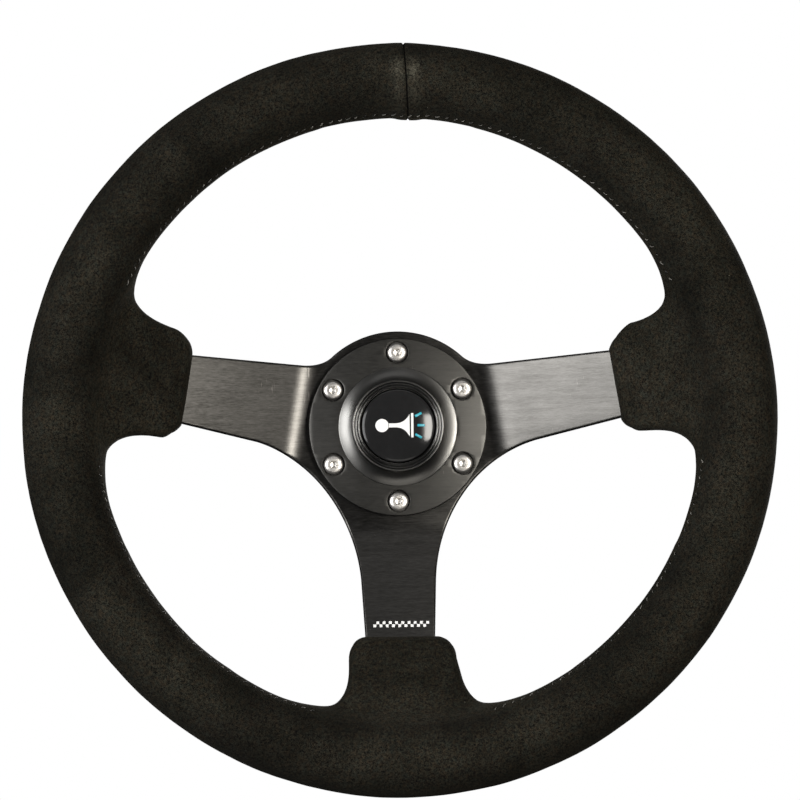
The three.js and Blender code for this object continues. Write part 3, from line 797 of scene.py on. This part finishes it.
# How far out each tongue's hem is, then for each of its sides: half width, length and width of the
# corner, its power (1 is a straight cut, 2 an arc), how fast the side spreads, and its fillet.
LOBES = {
    "right": (102.4, (26.7, 12.0, 10.5, 1.35, 0.0, 23.0), (23.4, 7.8, 7.4, 1.4, 0.17, 21.0)),
    "left": (99.9, (24.0, 8.0, 8.0, 1.25, 0.05, 25.0), (27.2, 11.5, 10.8, 1.8, 0.2, 21.0)),
    "lower": (99.4, (25.4, 10.0, 9.0, 1.9, 0.24, 19.0), (24.9, 10.8, 8.6, 2.0, 0.0, 24.0)),
}
LOBE_ROLL = 4.2
HEM_INSET = 4.2
# how far the long seam lies behind the inner edge of the rim, round its section
SEAM_TURN = math.radians(20)


def rounded_box(a, b):
    """Distance to a corner-rounded shape from the distances to its sides."""
    return np.hypot(np.maximum(a, 0), np.maximum(b, 0)) + np.minimum(np.maximum(a, b), 0)


def fade(value, start, end):
    t = np.clip((value - start) / (end - start), 0, 1)
    return t * t * (3 - 2 * t)


def lobe_field(points, name):
    """The tongue that the covering makes on a spoke, spreading into the rim in a wide fillet."""
    x, y, z = points.T
    angle = SPOKE_ANGLES[name]
    u = x * math.cos(angle) + z * math.sin(angle)
    v = -x * math.sin(angle) + z * math.cos(angle)
    radius = np.hypot(x, z)
    edge, plus, minus = LOBES[name]
    side = [np.where(v > 0, p, m) for p, m in zip(plus, minus)]
    half_width, corner_length, corner_width, power, spread, fillet = side
    half_width = half_width + spread * np.clip(u - edge - corner_length, 0, 40)
    ahead = (edge + corner_length - u) / corner_length
    beside = (np.abs(v) - half_width + corner_width) / corner_width
    corner = (np.maximum(ahead, 0) ** power + np.maximum(beside, 0) ** power) ** (1 / power)
    tongue = corner - 1 + np.minimum(np.maximum(ahead, beside), 0)
    tongue = tongue * np.minimum(corner_length, corner_width)
    inner_rim = RIM_RADIUS - GRIP_WIDTH / 2
    rim_side = inner_rim - radius + 4.5 * fade(np.abs(v), 38, 64)
    plan = smooth_union(tongue, rim_side, fillet)
    plan = np.maximum(plan, radius - (inner_rim + 9))
    reach = u + (radius - u) * fade(np.abs(v), 28, 50)
    lift = SLOPE * np.maximum(reach - BEND, 0)
    forward = (PLATE_MIDDLE - lift - y) / math.hypot(1, SLOPE)
    half_depth = 6.7 + 2.4 * fade(u, edge, edge + 38)
    body = rounded_box(plan + LOBE_ROLL, np.abs(forward) - half_depth + LOBE_ROLL) - LOBE_ROLL
    groove = np.exp(-(((u - edge - HEM_INSET) / 0.8) ** 2))
    ridge = np.exp(-(((u - edge - HEM_INSET + 2.0) / 1.3) ** 2))
    hem = (0.8 * groove - 0.35 * ridge) * np.exp(-((v / 20.0) ** 6))
    return body + hem + 100 * fade(-u, -60, -20)


def top_seam_offset(x, z):
    """Distance from the sewn line at twelve o'clock, which leans a little."""
    return x - SEAM_X - SEAM_LEAN * (RIM_RADIUS - z)


def grip_field(points):
    x, y, z = points.T
    radius = np.hypot(x, z)
    across = (radius - RIM_RADIUS) / (GRIP_WIDTH / 2)
    deep = (y - RIM_Y) / (GRIP_DEPTH / 2)
    size = np.hypot(across, deep) + 1e-9
    slope = np.hypot(across / (GRIP_WIDTH / 2), deep / (GRIP_DEPTH / 2)) / size
    value = (size - 1) / slope
    # the turned-in edges under the twelve o'clock seam lift the cover beside it
    top = (z > 60).astype(float)
    inner = np.clip(0.5 - across, 0, 1.5)
    welt = np.exp(-((top_seam_offset(x, z) / 6.0) ** 4)) * (0.12 + 0.55 * inner)
    value = value - top * welt
    # the long seam round the inside of the rim
    seam_angle = np.arctan2(-(y - RIM_Y) / (GRIP_DEPTH / 2), -across)
    seam = np.exp(-(((seam_angle - SEAM_TURN) * 16.0 / 0.8) ** 2))
    value = value + 0.22 * seam
    for name in SPOKE_ANGLES:
        value = smooth_union(value, lobe_field(points, name), 8.0)
    return value


def crease_top_seam(mesh):
    """Cuts the cover at the twelve o'clock seam and draws it in along the sewn line."""

    def at_top(place):
        return place.z > 130 * MM and abs(place.x) < 12 * MM

    work = opened(mesh)
    normal = Vector((1, 0, SEAM_LEAN)).normalized()
    for offset in (-1.1, -0.65, -0.3, 0.0, 0.3, 0.65, 1.1):
        near = [f for f in work.faces if at_top(f.calc_center_median())]
        parts = set(near)
        for face in near:
            parts.update(face.edges)
            parts.update(face.verts)
        sliced(work, Vector((SEAM_X + offset, 0, RIM_RADIUS)), normal, list(parts))
    work.normal_update()
    moves = []
    for vertex in work.verts:
        if at_top(vertex.co):
            x, y, z = vertex.co / MM
            offset = top_seam_offset(x, z)
            if abs(offset) < 1.2:
                depth = 0.75 * math.exp(-((offset / 0.4) ** 2))
                moves.append((vertex, vertex.normal * -depth * MM))
    for vertex, move in moves:
        vertex.co += move
    written(work, mesh)


def build_grip():
    low_corner = (-RIM_OUTER - 3, RIM_Y - GRIP_DEPTH / 2 - 3, -RIM_OUTER - 3)
    high_corner = (RIM_OUTER + 3, PLATE_MIDDLE - 14, RIM_OUTER + 3)
    step = 1.4
    points, faces = surface_of(grip_field, low_corner, high_corner, step)
    slope = slope_of(grip_field, points)
    slope /= np.linalg.norm(slope, axis=1)[:, None]
    swell = np.array([noise.noise(Vector(p) / 26.0) for p in points])
    ripple = np.array([noise.noise(Vector(p) / 7.0) for p in points])
    points = points + slope * (0.28 * swell + 0.07 * ripple - 0.1)[:, None]
    radius = np.hypot(points[:, 0], points[:, 2])
    shrink = np.minimum(1.0, (RIM_OUTER + 0.4) / radius)
    points[:, 0] *= shrink
    points[:, 2] *= shrink
    mesh = outward(mesh_from(points, faces))
    crease_top_seam(mesh)
    replaced = ["suede_left", "suede_right"]
    cover = finish_object("suede_cover", mesh, "wheel", SUEDE, replaced, 80)


def on_grip(points):
    """Puts points near the cover exactly on its surface, with the outward directions there."""
    points = onto(grip_field, np.array(points, float), 4)
    slope = slope_of(grip_field, points)
    return points, slope / np.linalg.norm(slope, axis=1)[:, None]


def stitch(middle, along, out, length, radius):
    """A short sewn thread that dips into the cover at both ends."""
    path = []
    for k in range(7):
        t = k / 6 * 2 - 1
        path.append(middle + along * (t * length / 2) + out * (0.28 * (1 - t**2) - 0.12 * t**4))
    return tube(path, radius, 6)


def join_shapes(shapes):
    points = []
    faces = []
    for more_points, more_faces in shapes:
        base = len(points)
        points += [tuple(p) for p in more_points]
        faces += [tuple(base + i for i in face) for face in more_faces]
    return outward(mesh_from(points, faces))


def build_stitches():
    """Hand stitches across the long seam on the inside of the rim."""
    pitch = 4.1
    count = int(2 * math.pi * (RIM_RADIUS - GRIP_WIDTH / 2) / pitch)
    angles = [2 * math.pi * k / count + 0.004 * math.sin(7.3 * k) for k in range(count)]
    clear = []
    for angle in angles:
        turns = [math.remainder(angle - a, 2 * math.pi) for a in SPOKE_ANGLES.values()]
        if min(abs(t) for t in turns) > math.radians(17):
            clear.append(angle)
    radius = RIM_RADIUS - GRIP_WIDTH / 2 * math.cos(SEAM_TURN)
    y = RIM_Y - GRIP_DEPTH / 2 * math.sin(SEAM_TURN)
    guesses = [(radius * math.cos(a), y, radius * math.sin(a)) for a in clear]
    middles, outs = on_grip(guesses)
    shapes = []
    for k, (angle, middle, out) in enumerate(zip(clear, middles, outs)):
        round_rim = np.array([-math.sin(angle), 0, math.cos(angle)])
        over = np.cross(out, round_rim)
        lean = 0.8 + 0.5 * math.sin(5.1 * k)
        along = over * lean + round_rim
        length = 1.9 + 0.5 * math.sin(3.7 * k)
        shapes.append(stitch(middle, along / np.linalg.norm(along), out, length, 0.22))
    finish_object("rim_stitches", join_shapes(shapes), "wheel", THREAD)


# ---- horn ring, screws and push


def diced(mesh, reach, step):
    """Cuts a flat piece into small squares, so that it can be bent smoothly."""
    work = opened(mesh)
    for normal in (Vector((1, 0, 0)), Vector((0, 0, 1))):
        for place in np.arange(-reach, reach + 0.1, step):
            sliced(work, normal * place, normal)
    return written(work, mesh)


def crowned(mesh, drop):
    """Lets a ring's front face fall away slightly towards its outer edge."""
    diced(mesh, RING_OUTER, 2.3)
    for vertex in mesh.vertices:
        x, y, z = vertex.co / MM
        share = (math.hypot(x, z) - RING_INNER) / (RING_OUTER - RING_INNER)
        front = (y - RING_BACK) / (RING_FRONT - RING_BACK)
        if share > 0 and front > 0.5:
            vertex.co.y += drop * share**1.2 * MM
    return mesh


def build_horn_ring():
    seat = RING_FRONT + 3.0
    counterbore = 5.25
    edges = [circle(RING_OUTER, segments=180), circle(RING_INNER, segments=144)]
    back = flat_part(edges + bolt_circles(BOLT_HOLE, 24), RING_BACK, seat, 0.05, 0)
    front = flat_part(edges + bolt_circles(counterbore, 48), seat + 0.02, RING_FRONT, 0.45, 2)
    mesh = join([back, crowned(front, 1.9)])
    finer("horn_ring", "brushed", mesh, "wheel", RING_METAL, 30)


def screw_mesh():
    """A button head with a hexagon socket, its axis on Y and its seat at y = 0."""
    sides = 48
    head_radius, head_height, socket_radius = 4.7, 2.75, 1.78
    land, shank, tip_y = 2.25, 2.45, 12.0
    rows = []

    def hexagon(angle):
        turn = (angle + math.pi / 6) % (math.pi / 3) - math.pi / 6
        return socket_radius * math.cos(math.pi / 6) / math.cos(turn)

    def row(radius_at, y_at):
        rows.append([(radius_at(2 * math.pi * k / sides), y_at) for k in range(sides)])

    row(lambda a: hexagon(a) * 0.05, -head_height + 2.1)
    row(lambda a: hexagon(a) * 0.9, -head_height + 1.75)
    row(lambda a: hexagon(a) * 0.985, -head_height + 1.6)
    row(lambda a: hexagon(a), -head_height + 0.12)
    row(lambda a: hexagon(a) + 0.14, -head_height - 0.02)
    row(lambda a: land, -head_height)
    for k in range(1, 13):
        t = k / 12
        radius = land + (head_radius - land) * math.sin(t * math.pi / 2)
        height = head_height * (0.17 + 0.83 * math.cos(t * math.pi / 2) ** 0.9)
        row(lambda a, r=radius: r, -height)
    row(lambda a: head_radius, -0.12)
    row(lambda a: head_radius - 0.12, 0.0)
    row(lambda a: shank, 0.0)
    row(lambda a: shank, tip_y - 0.6)
    row(lambda a: 0.05, tip_y)
    points = []
    faces = []
    for i, ring in enumerate(rows):
        for k, (radius, y) in enumerate(ring):
            angle = 2 * math.pi * k / sides
            points.append((radius * math.cos(angle), y, radius * math.sin(angle)))
        if i:
            for k in range(sides):
                n = (k + 1) % sides
                a, b = (i - 1) * sides, i * sides
                faces.append((a + k, a + n, b + n, b + k))
    faces.append(tuple(range(sides)))
    faces.append(tuple((len(rows) - 1) * sides + k for k in range(sides)))
    return outward(mesh_from(points, faces))


def build_screws():
    seat = RING_FRONT + 2.9
    for i, angle in enumerate(BOLT_ANGLES):
        mesh = screw_mesh()
        mesh.transform(Matrix.Rotation(0.4 + 1.1 * i, 4, "Y"))
        on_circle(mesh, BOLT_CIRCLE, angle, seat)
        finer(f"horn_screw_{i + 1}", "polished", mesh, "wheel", SCREW_STEEL, 28)


BEZEL_TOP = low("horn_bezel")[1]
CAP_RADIUS = 17.0
DOME_TOP = low("horn_cap")[1]
DOME_HEIGHT = 2.6
DOME_SPHERE = (CAP_RADIUS**2 + DOME_HEIGHT**2) / (2 * DOME_HEIGHT)


def dome_y(radius):
    return DOME_TOP + DOME_SPHERE - math.sqrt(DOME_SPHERE**2 - min(radius, CAP_RADIUS) ** 2)


def build_bezel():
    foot = high("horn_bezel")[1]
    foot_radius, lip_radius = 27.9, 21.9
    flare = [(foot_radius - 0.2, RING_FRONT + 0.05), (foot_radius, RING_FRONT - 0.08)]
    y = RING_FRONT - 0.22
    steps = 28
    for k in range(steps + 1):
        t = k / steps
        flare.append((foot_radius - 0.12 + (lip_radius - foot_radius) * t, y))
        y -= (foot_radius - lip_radius) / steps * math.tan(math.radians(17 + 24 * t**1.4))
    flare += [(21.55, y - 1.2), (21.5, BEZEL_TOP + 0.75)]
    lip = arc((20.95, BEZEL_TOP + 0.55), 0.55, 0, -180, 10)
    profile = [(26.6, foot), (26.6, RING_FRONT + 0.05), *flare, *lip]
    profile += [(20.4, BEZEL_TOP + 2.2), (17.6, BEZEL_TOP + 2.2)]
    profile += [(17.6, -59.3), (19.9, -59.3), (19.9, foot)]
    mesh = lathe(profile, 160)
    finer("horn_bezel", "flared", mesh, "wheel", BEZEL_METAL, 40)


def build_trim_ring():
    back = high("horn_trim_ring")[1]
    front = low("horn_trim_ring")[1]
    bead = 0.55
    beads = [p for r in (19.72, 18.5) for p in arc((r, front + bead), bead, 0, -180, 10)]
    profile = [(20.3, back), (20.27, front + 0.7), *beads, (17.93, front + 0.7), (17.9, back)]
    mesh = lathe(profile, 160)
    finer("horn_trim_ring", "beads", mesh, "wheel", TRIM_METAL, 40)


def build_cap():
    back = high("horn_cap")[1]
    skirt = -57.9
    dome = [(CAP_RADIUS * k / 24, dome_y(CAP_RADIUS * k / 24)) for k in range(23, 0, -1)]
    edge = arc((CAP_RADIUS - 0.35, dome_y(CAP_RADIUS) + 0.32), 0.35, 0, -62, 6)
    profile = [(0, back), (3, back), (3, dome_y(CAP_RADIUS) + 1), (15.2, dome_y(CAP_RADIUS) + 1.6)]
    profile += [(15.2, skirt), (19.4, skirt), (19.4, skirt - 1.2), (CAP_RADIUS, skirt - 1.2)]
    profile += [*edge, *dome, (0, DOME_TOP)]
    mesh = lathe(profile, 128)
    finer("horn_cap", "dome", mesh, "horn_button", GLOSS_BLACK, 35)


def printed_on_cap(name, outlines, material):
    """Thin flat shapes laid on the cap's dome."""
    lift, thickness = 0.02, 0.05
    meshes = []
    for outline in outlines:
        mesh = diced(flat_part([outline], 0.0, -thickness, 0.01, 0), 14, 1.0)
        for vertex in mesh.vertices:
            x, y, z = vertex.co / MM
            vertex.co.y = (y + dome_y(math.hypot(x, z)) - lift) * MM
        meshes.append(mesh)
    finish_object(name, join(meshes), "horn_button", material)


def horn_symbol():
    """A plain bulb horn: squeeze bulb, tube and bell, drawn in the cap's plane."""
    bulb = arc((-7.6, 0), 3.1, 17, 343, 28)
    tube_and_bell = [(-4.4, 0.95), (-1.0, 0.95)]
    tube_and_bell += bezier((-1.0, 0.95), (1.6, 1.1), (3.6, 2.2), (5.3, 5.2), 10)[1:]
    lower = [(x, -z) for x, z in reversed(tube_and_bell)]
    return [bulb, tube_and_bell + lower]


def build_symbol():
    mouth = [(6.0, 5.7), (7.1, 5.7), (7.1, -5.7), (6.0, -5.7)]
    printed_on_cap("horn_symbol_white", [*horn_symbol(), mouth], MARK_WHITE)
    start, end, half = 9.0, 12.4, 0.55
    corners = [(start, -half), (end, -half), (end, half), (start, half)]
    strokes = [[turned(*c, math.radians(tilt)) for c in corners] for tilt in (-28, 0, 28)]
    printed_on_cap("horn_symbol_cyan", strokes, MARK_CYAN)


def build_spoke_strip():
    """A small chequered strip on the lower spoke, in its sloping plane."""
    columns, square = 18, 1.45
    middle_u = 93.5
    meshes = []
    for row in range(2):
        for column in range(row % 2, columns, 2):
            x = (column - columns / 2) * square
            z = -middle_u + row * square - square
            corners = (x + 0.05, -0.03, z + 0.05), (x + square - 0.05, 0.0, z + square - 0.05)
            meshes.append(box_mesh(*corners))
    mesh = join(meshes)
    thicker = PLATE_THICKNESS / 2 * math.hypot(1, SLOPE)
    for vertex in mesh.vertices:
        u = -vertex.co.z / MM
        vertex.co.y += (PLATE_MIDDLE - thicker - spoke_lift(u) - 0.01) * MM
    finish_object("spoke_strip", mesh, "wheel", MARK_WHITE)


# ---- quick release


def radial_rod(radius, from_r, to_r, y, angle):
    mesh = lathe([(0, from_r), (radius, from_r), (radius, to_r), (0, to_r)], 40)
    mesh.transform(Matrix.Rotation(-math.pi / 2, 4, "Z"))
    return turned_about_y(moved(mesh, 0, y, 0), angle)


def bolt_drills(profile, segments):
    """Cutters for the six bolt holes, all turned from one profile."""
    return [on_circle(lathe(profile, segments), BOLT_CIRCLE, a) for a in BOLT_ANGLES]


SPLINE_ANGLES = [math.pi / 3 * k for k in range(6)]
BALL_Y = (low("locking_ball_1")[1] + high("locking_ball_1")[1]) / 2
BALL_RADIUS = 5.0
BALL_OUT = 22.3
BARREL = 25.0
STUB = 17.0


def spline_boxes(width, top, from_y, to_y, bevel=0.0):
    boxes = []
    for angle in SPLINE_ANGLES:
        mesh = box_mesh((STUB - 1.5, from_y, -width / 2), (top, to_y, width / 2), bevel)
        boxes.append(turned_about_y(mesh, angle))
    return boxes


def build_adaptor():
    flange_back = PLATE_BACK + 6
    clip = (-14.3, -15.9)
    barrel = lathe([
        (17.25, -9.6), (17.85, -9.0), (24.4, -9.0), (BARREL, -9.6), (BARREL, clip[0]), (23.7, clip[0]),
        (23.7, clip[1]), (BARREL, clip[1]), (BARREL, flange_back - 1.2),
        (BARREL + 0.35, flange_back - 0.35),
        (BARREL + 1.2, flange_back), (38, flange_back), (38, -51.8), (22.2, -51.8), (22.2, -40),
        (8, -40), (8, -36.5), (17.25, -36.5),
    ], 144)
    cutters = spline_boxes(5.1, STUB + 2.25, -36.4, -5)
    cutters += [radial_rod(BALL_RADIUS + 0.15, 12, 30, BALL_Y, a) for a in BOLT_ANGLES]
    cutters += bolt_drills([(0, -40), (2.75, -40), (2.75, -60), (0, -60)], 24)
    body = cut(barrel, join(cutters))
    rim = lathe([
        (38.05, flange_back), (39.5, flange_back), (40, flange_back - 0.5), (40, -51.4),
        (39.5, -51.9), (38.05, -51.9),
    ], 144)
    replaced = ["adaptor_body"]
    mesh = join([body, rim])
    finish_object("adaptor_turned", mesh, "wheel", ALUMINIUM, replaced, 32)


def build_collar():
    bore = BARREL + 0.3
    cam_wide = 29.6
    cam = 2.3 / 6.0
    at_ball = BALL_OUT + (BALL_RADIUS + 0.1) * math.hypot(1, cam)
    start = BALL_Y - (at_ball - bore) / cam
    end = BALL_Y + (cam_wide - at_ball) / cam
    grip = [(32.4, -15.6 - 0.7 * k) for k in range(0, 11)]

    def flutes(radius, y, angle):
        if radius > 34.5 and -33.2 < y < -28.4:
            return -0.9 * max(0.0, math.cos(24 * angle)) ** 3
        if 32.3 < radius < 32.45 and -22.8 < y < -15.4:
            diamond = math.cos(60 * angle + y * 4.4) * math.cos(60 * angle - y * 4.4)
            return -0.32 * (diamond + 1) / 2
        return 0.0

    shoulder = bezier((32.5, -24.2), (32.5, -26), (35.2, -26.2), (35.6, -28.2), 8)
    flange = [(36, -28.8), (36, -30), (36, -31.2), (36, -32.4), (36, -33), (35.4, -34)]
    profile = [(bore + 0.3, -34), (bore, -33.7), (bore, start), (cam_wide, end)]
    profile += [(cam_wide, -14.3), (29.9, -14), (31.9, -14), (32.5, -14.6), (32.5, -15.2)]
    profile += [*grip, (32.5, -23.2), *shoulder, *flange]
    mesh = lathe(profile, 480, flutes)
    finer("release_collar", "knurled", mesh, "collar", COLLAR_BLACK, 45)


def coil(name, radius, wire, from_y, to_y, turns):
    """A compression spring with closed ends, between the body that holds it and the one it pushes."""
    steps = int(turns * 36)
    path = []
    for k in range(steps + 1):
        t = k / steps
        rise = np.clip((t - 0.12) / 0.76, 0, 1)
        lift = 0.06 * min(t / 0.12, 1) + 0.88 * rise + 0.06 * max((t - 0.88) / 0.12, 0)
        x, z = around(radius, 2 * math.pi * turns * t)
        path.append((x, from_y + (to_y - from_y) * lift, z))
    mesh = outward(mesh_from(*tube(path, wire)))
    piece = finer(name, "wire", mesh, None, SPRING_STEEL, 60)
    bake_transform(piece)


def build_balls():
    for i, angle in enumerate(BOLT_ANGLES, 1):
        work = opened()
        bmesh.ops.create_icosphere(work, subdivisions=4, radius=BALL_RADIUS * MM)
        mesh = on_circle(written(work), BALL_OUT, angle, BALL_Y)
        finer(f"locking_ball_{i}", "polished", mesh, f"ball_{i}", BALL_STEEL, 60)


def build_clip():
    opening = 14
    outer = arc((0, 0), 27.3, opening, 360 - opening, 80)
    inner = arc((0, 0), 24.1, 360 - opening, opening, 80)
    back, front = high("collar_clip")[1], low("collar_clip")[1]
    mesh = flat_part([outer + inner], back, front, 0.12, 1)
    finer("collar_clip", "ring", mesh, "wheel", SPRING_STEEL, 40)


def build_column_hub():
    groove_top, groove_bottom, groove_radius = 4.8, 2.8, STUB - 2.5
    stub = lathe([
        (6, -0.5), (6.5, 0), (39.5, 0), (40, -0.5), (40, -6.4), (39.4, -7), (STUB + 1.2, -7),
        (STUB + 0.35, -7.35), (STUB, -8.2), (STUB, BALL_Y + groove_top),
        (groove_radius, BALL_Y + groove_bottom), (groove_radius, BALL_Y - groove_bottom),
        (STUB, BALL_Y - groove_top), (STUB, -33), (STUB - 1.8, -35), (6.5, -35), (6, -34.5),
    ], 144)
    countersunk = [(0, 2), (BOLT_HOLE, 2), (BOLT_HOLE, -4.95), (4.7, -7.05), (4.7, -9), (0, -9)]
    stub = cut(stub, join(bolt_drills(countersunk, 32)))
    mesh = join([stub, *spline_boxes(4.6, STUB + 2, -32.5, -6.5, 0.3)])
    finer("column_hub", "turned", mesh, "column", STEEL, 32)


def build_contacts():
    holder = lathe([
        (3.3, -37.7), (7.4, -37.7), (7.7, -38), (7.7, -40.3), (10.7, -40.3), (11, -40.6),
        (11, -41.5), (10.7, -41.8), (3.3, -41.8),
    ], 72)
    finer("contact_holder", "moulded", holder, "wheel", BLACK_PLASTIC, 40)
    disc = lathe([
        (0, -36.2), (5.6, -36.2), (6, -36.6), (6, -37.1), (5.8, -37.4), (3, -37.4),
        (3, -45.1), (2.7, -45.4), (0, -45.4),
    ], 72)
    finer("wheel_contact", "turned", disc, "wheel", BRASS, 40)
    sleeve = lathe([(3.3, -1), (5.7, -1), (5.7, -34.4), (5.4, -34.7), (3.3, -34.7)], 72)
    finer("column_insulator", "moulded", sleeve, "column", BLACK_PLASTIC, 40)
    stud = lathe([
        (0, -0.5), (2.7, -0.5), (3, -0.8), (3, -35.2), (2.5, -35.8), (1.4, -35.9), (0, -35.9),
    ], 64)
    finer("column_contact", "turned", stud, "column", BRASS, 40)


def build_quick_release():
    build_adaptor()
    build_collar()
    coil("collar_spring", 28, 0.9, -44.8, -35.2, 3)
    build_balls()
    build_clip()
    build_column_hub()
    build_contacts()


# ---- studio


def aim(item, target, roll=0.0):
    turn = (target - item.location).to_track_quat("-Z", "Y").to_matrix().to_4x4()
    item.rotation_euler = (turn @ Matrix.Rotation(roll, 4, "Z")).to_euler()


def softbox(name, azimuth, elevation, distance, size, power, color=(1, 1, 1)):
    """A rectangular light. Azimuth is to the right of the driver's view, in degrees."""
    target = Vector((0, -0.09, 0))
    data = bpy.data.lights.new(name, "AREA")
    data.shape = "RECTANGLE"
    data.size, data.size_y = size
    data.energy = power
    data.color = color
    light = placed(name, data)
    a, e = math.radians(azimuth), math.radians(elevation)
    place = (math.sin(a) * math.cos(e), -math.cos(a) * math.cos(e), math.sin(e))
    light.location = target + Vector(place) * distance
    aim(light, target)
    light.visible_camera = False


def build_studio():
    """A dim room with soft lights, in front of plain white."""
    world = bpy.data.worlds.new("studio")
    world.use_nodes = True
    tree = world.node_tree
    room = tree.nodes["Background"]
    room.inputs["Color"].default_value = (1, 1, 1, 1)
    room.inputs["Strength"].default_value = 0.035
    seen = tree.nodes.new("ShaderNodeBackground")
    seen.inputs["Color"].default_value = (1, 1, 1, 1)
    seen.inputs["Strength"].default_value = 1.0
    which = tree.nodes.new("ShaderNodeMixShader")
    path = tree.nodes.new("ShaderNodeLightPath")
    tree.links.new(path.outputs["Is Camera Ray"], which.inputs[0])
    tree.links.new(room.outputs[0], which.inputs[1])
    tree.links.new(seen.outputs[0], which.inputs[2])
    tree.links.new(which.outputs[0], tree.nodes["World Output"].inputs["Surface"])
    bpy.context.scene.world = world
    warm = (1.0, 0.965, 0.9)
    softbox("key_left", -57, 3, 1.4, (1.15, 0.9), 24)
    softbox("band_right", 33, 2, 1.4, (0.28, 0.6), 14, color=warm)
    softbox("side_right", 67, 3, 1.4, (0.75, 0.9), 2.6, color=warm)
    softbox("high_front", -5, 57, 1.6, (1.2, 0.5), 1.1)
    softbox("low_front", 5, -40, 1.4, (0.8, 0.35), 1.3, color=warm)
    softbox("behind", 156, 12, 1.8, (1.5, 1.1), 20)


def build_floor():
    """A plain pale floor, well below the wheel."""
    half, floor_z = 4.0 / MM, -0.75 / MM
    corners = ((-half, -half), (half, -half), (half, half), (-half, half))
    mesh = mesh_from([(x, y, floor_z) for x, y in corners], [(0, 1, 2, 3)])
    n = Nodes("pale_floor")
    pale = n.mix(n.noise(3, 2, 0.5), (0.78, 0.78, 0.78), (0.82, 0.82, 0.82))
    n.feed(n.shader.inputs["Emission Color"], pale)
    n.shader.inputs["Emission Strength"].default_value = 0.7
    mesh.materials.append(n.shade(base_color=pale, roughness=0.9))
    floor = placed("floor", mesh)
    # it is lit to look pale, and sends none of that light back up to the wheel
    floor.visible_diffuse = False
    floor.visible_glossy = False


def build_camera():
    distance = 3.6
    across = 0.3702
    sensor = 36.0
    below, left, roll = math.radians(4.07), math.radians(1.3), math.radians(-0.7)
    target = Vector((0, RIM_Y * MM, 0.00895))
    flat = math.cos(below)
    back = -Vector((math.sin(left) * flat, math.cos(left) * flat, math.sin(below)))
    data = bpy.data.cameras.new("camera")
    data.sensor_width = sensor
    data.lens = sensor * distance / across
    data.clip_end = 50
    camera = placed("camera", data)
    camera.location = target + back * distance
    aim(camera, target, roll)
    bpy.context.scene.camera = camera
    bpy.context.scene.view_settings.view_transform = "Standard"


# ---- making it all

dress_cad_nodes()
build_camera()
build_studio()
build_floor()
build_spoke_plate()
build_grip()
build_stitches()
build_horn_ring()
build_screws()
build_bezel()
build_trim_ring()
build_cap()
build_symbol()
build_spoke_strip()
coil("horn_return_spring", 17.6, 0.6, -48.4, -57.1, 3)
build_quick_release()
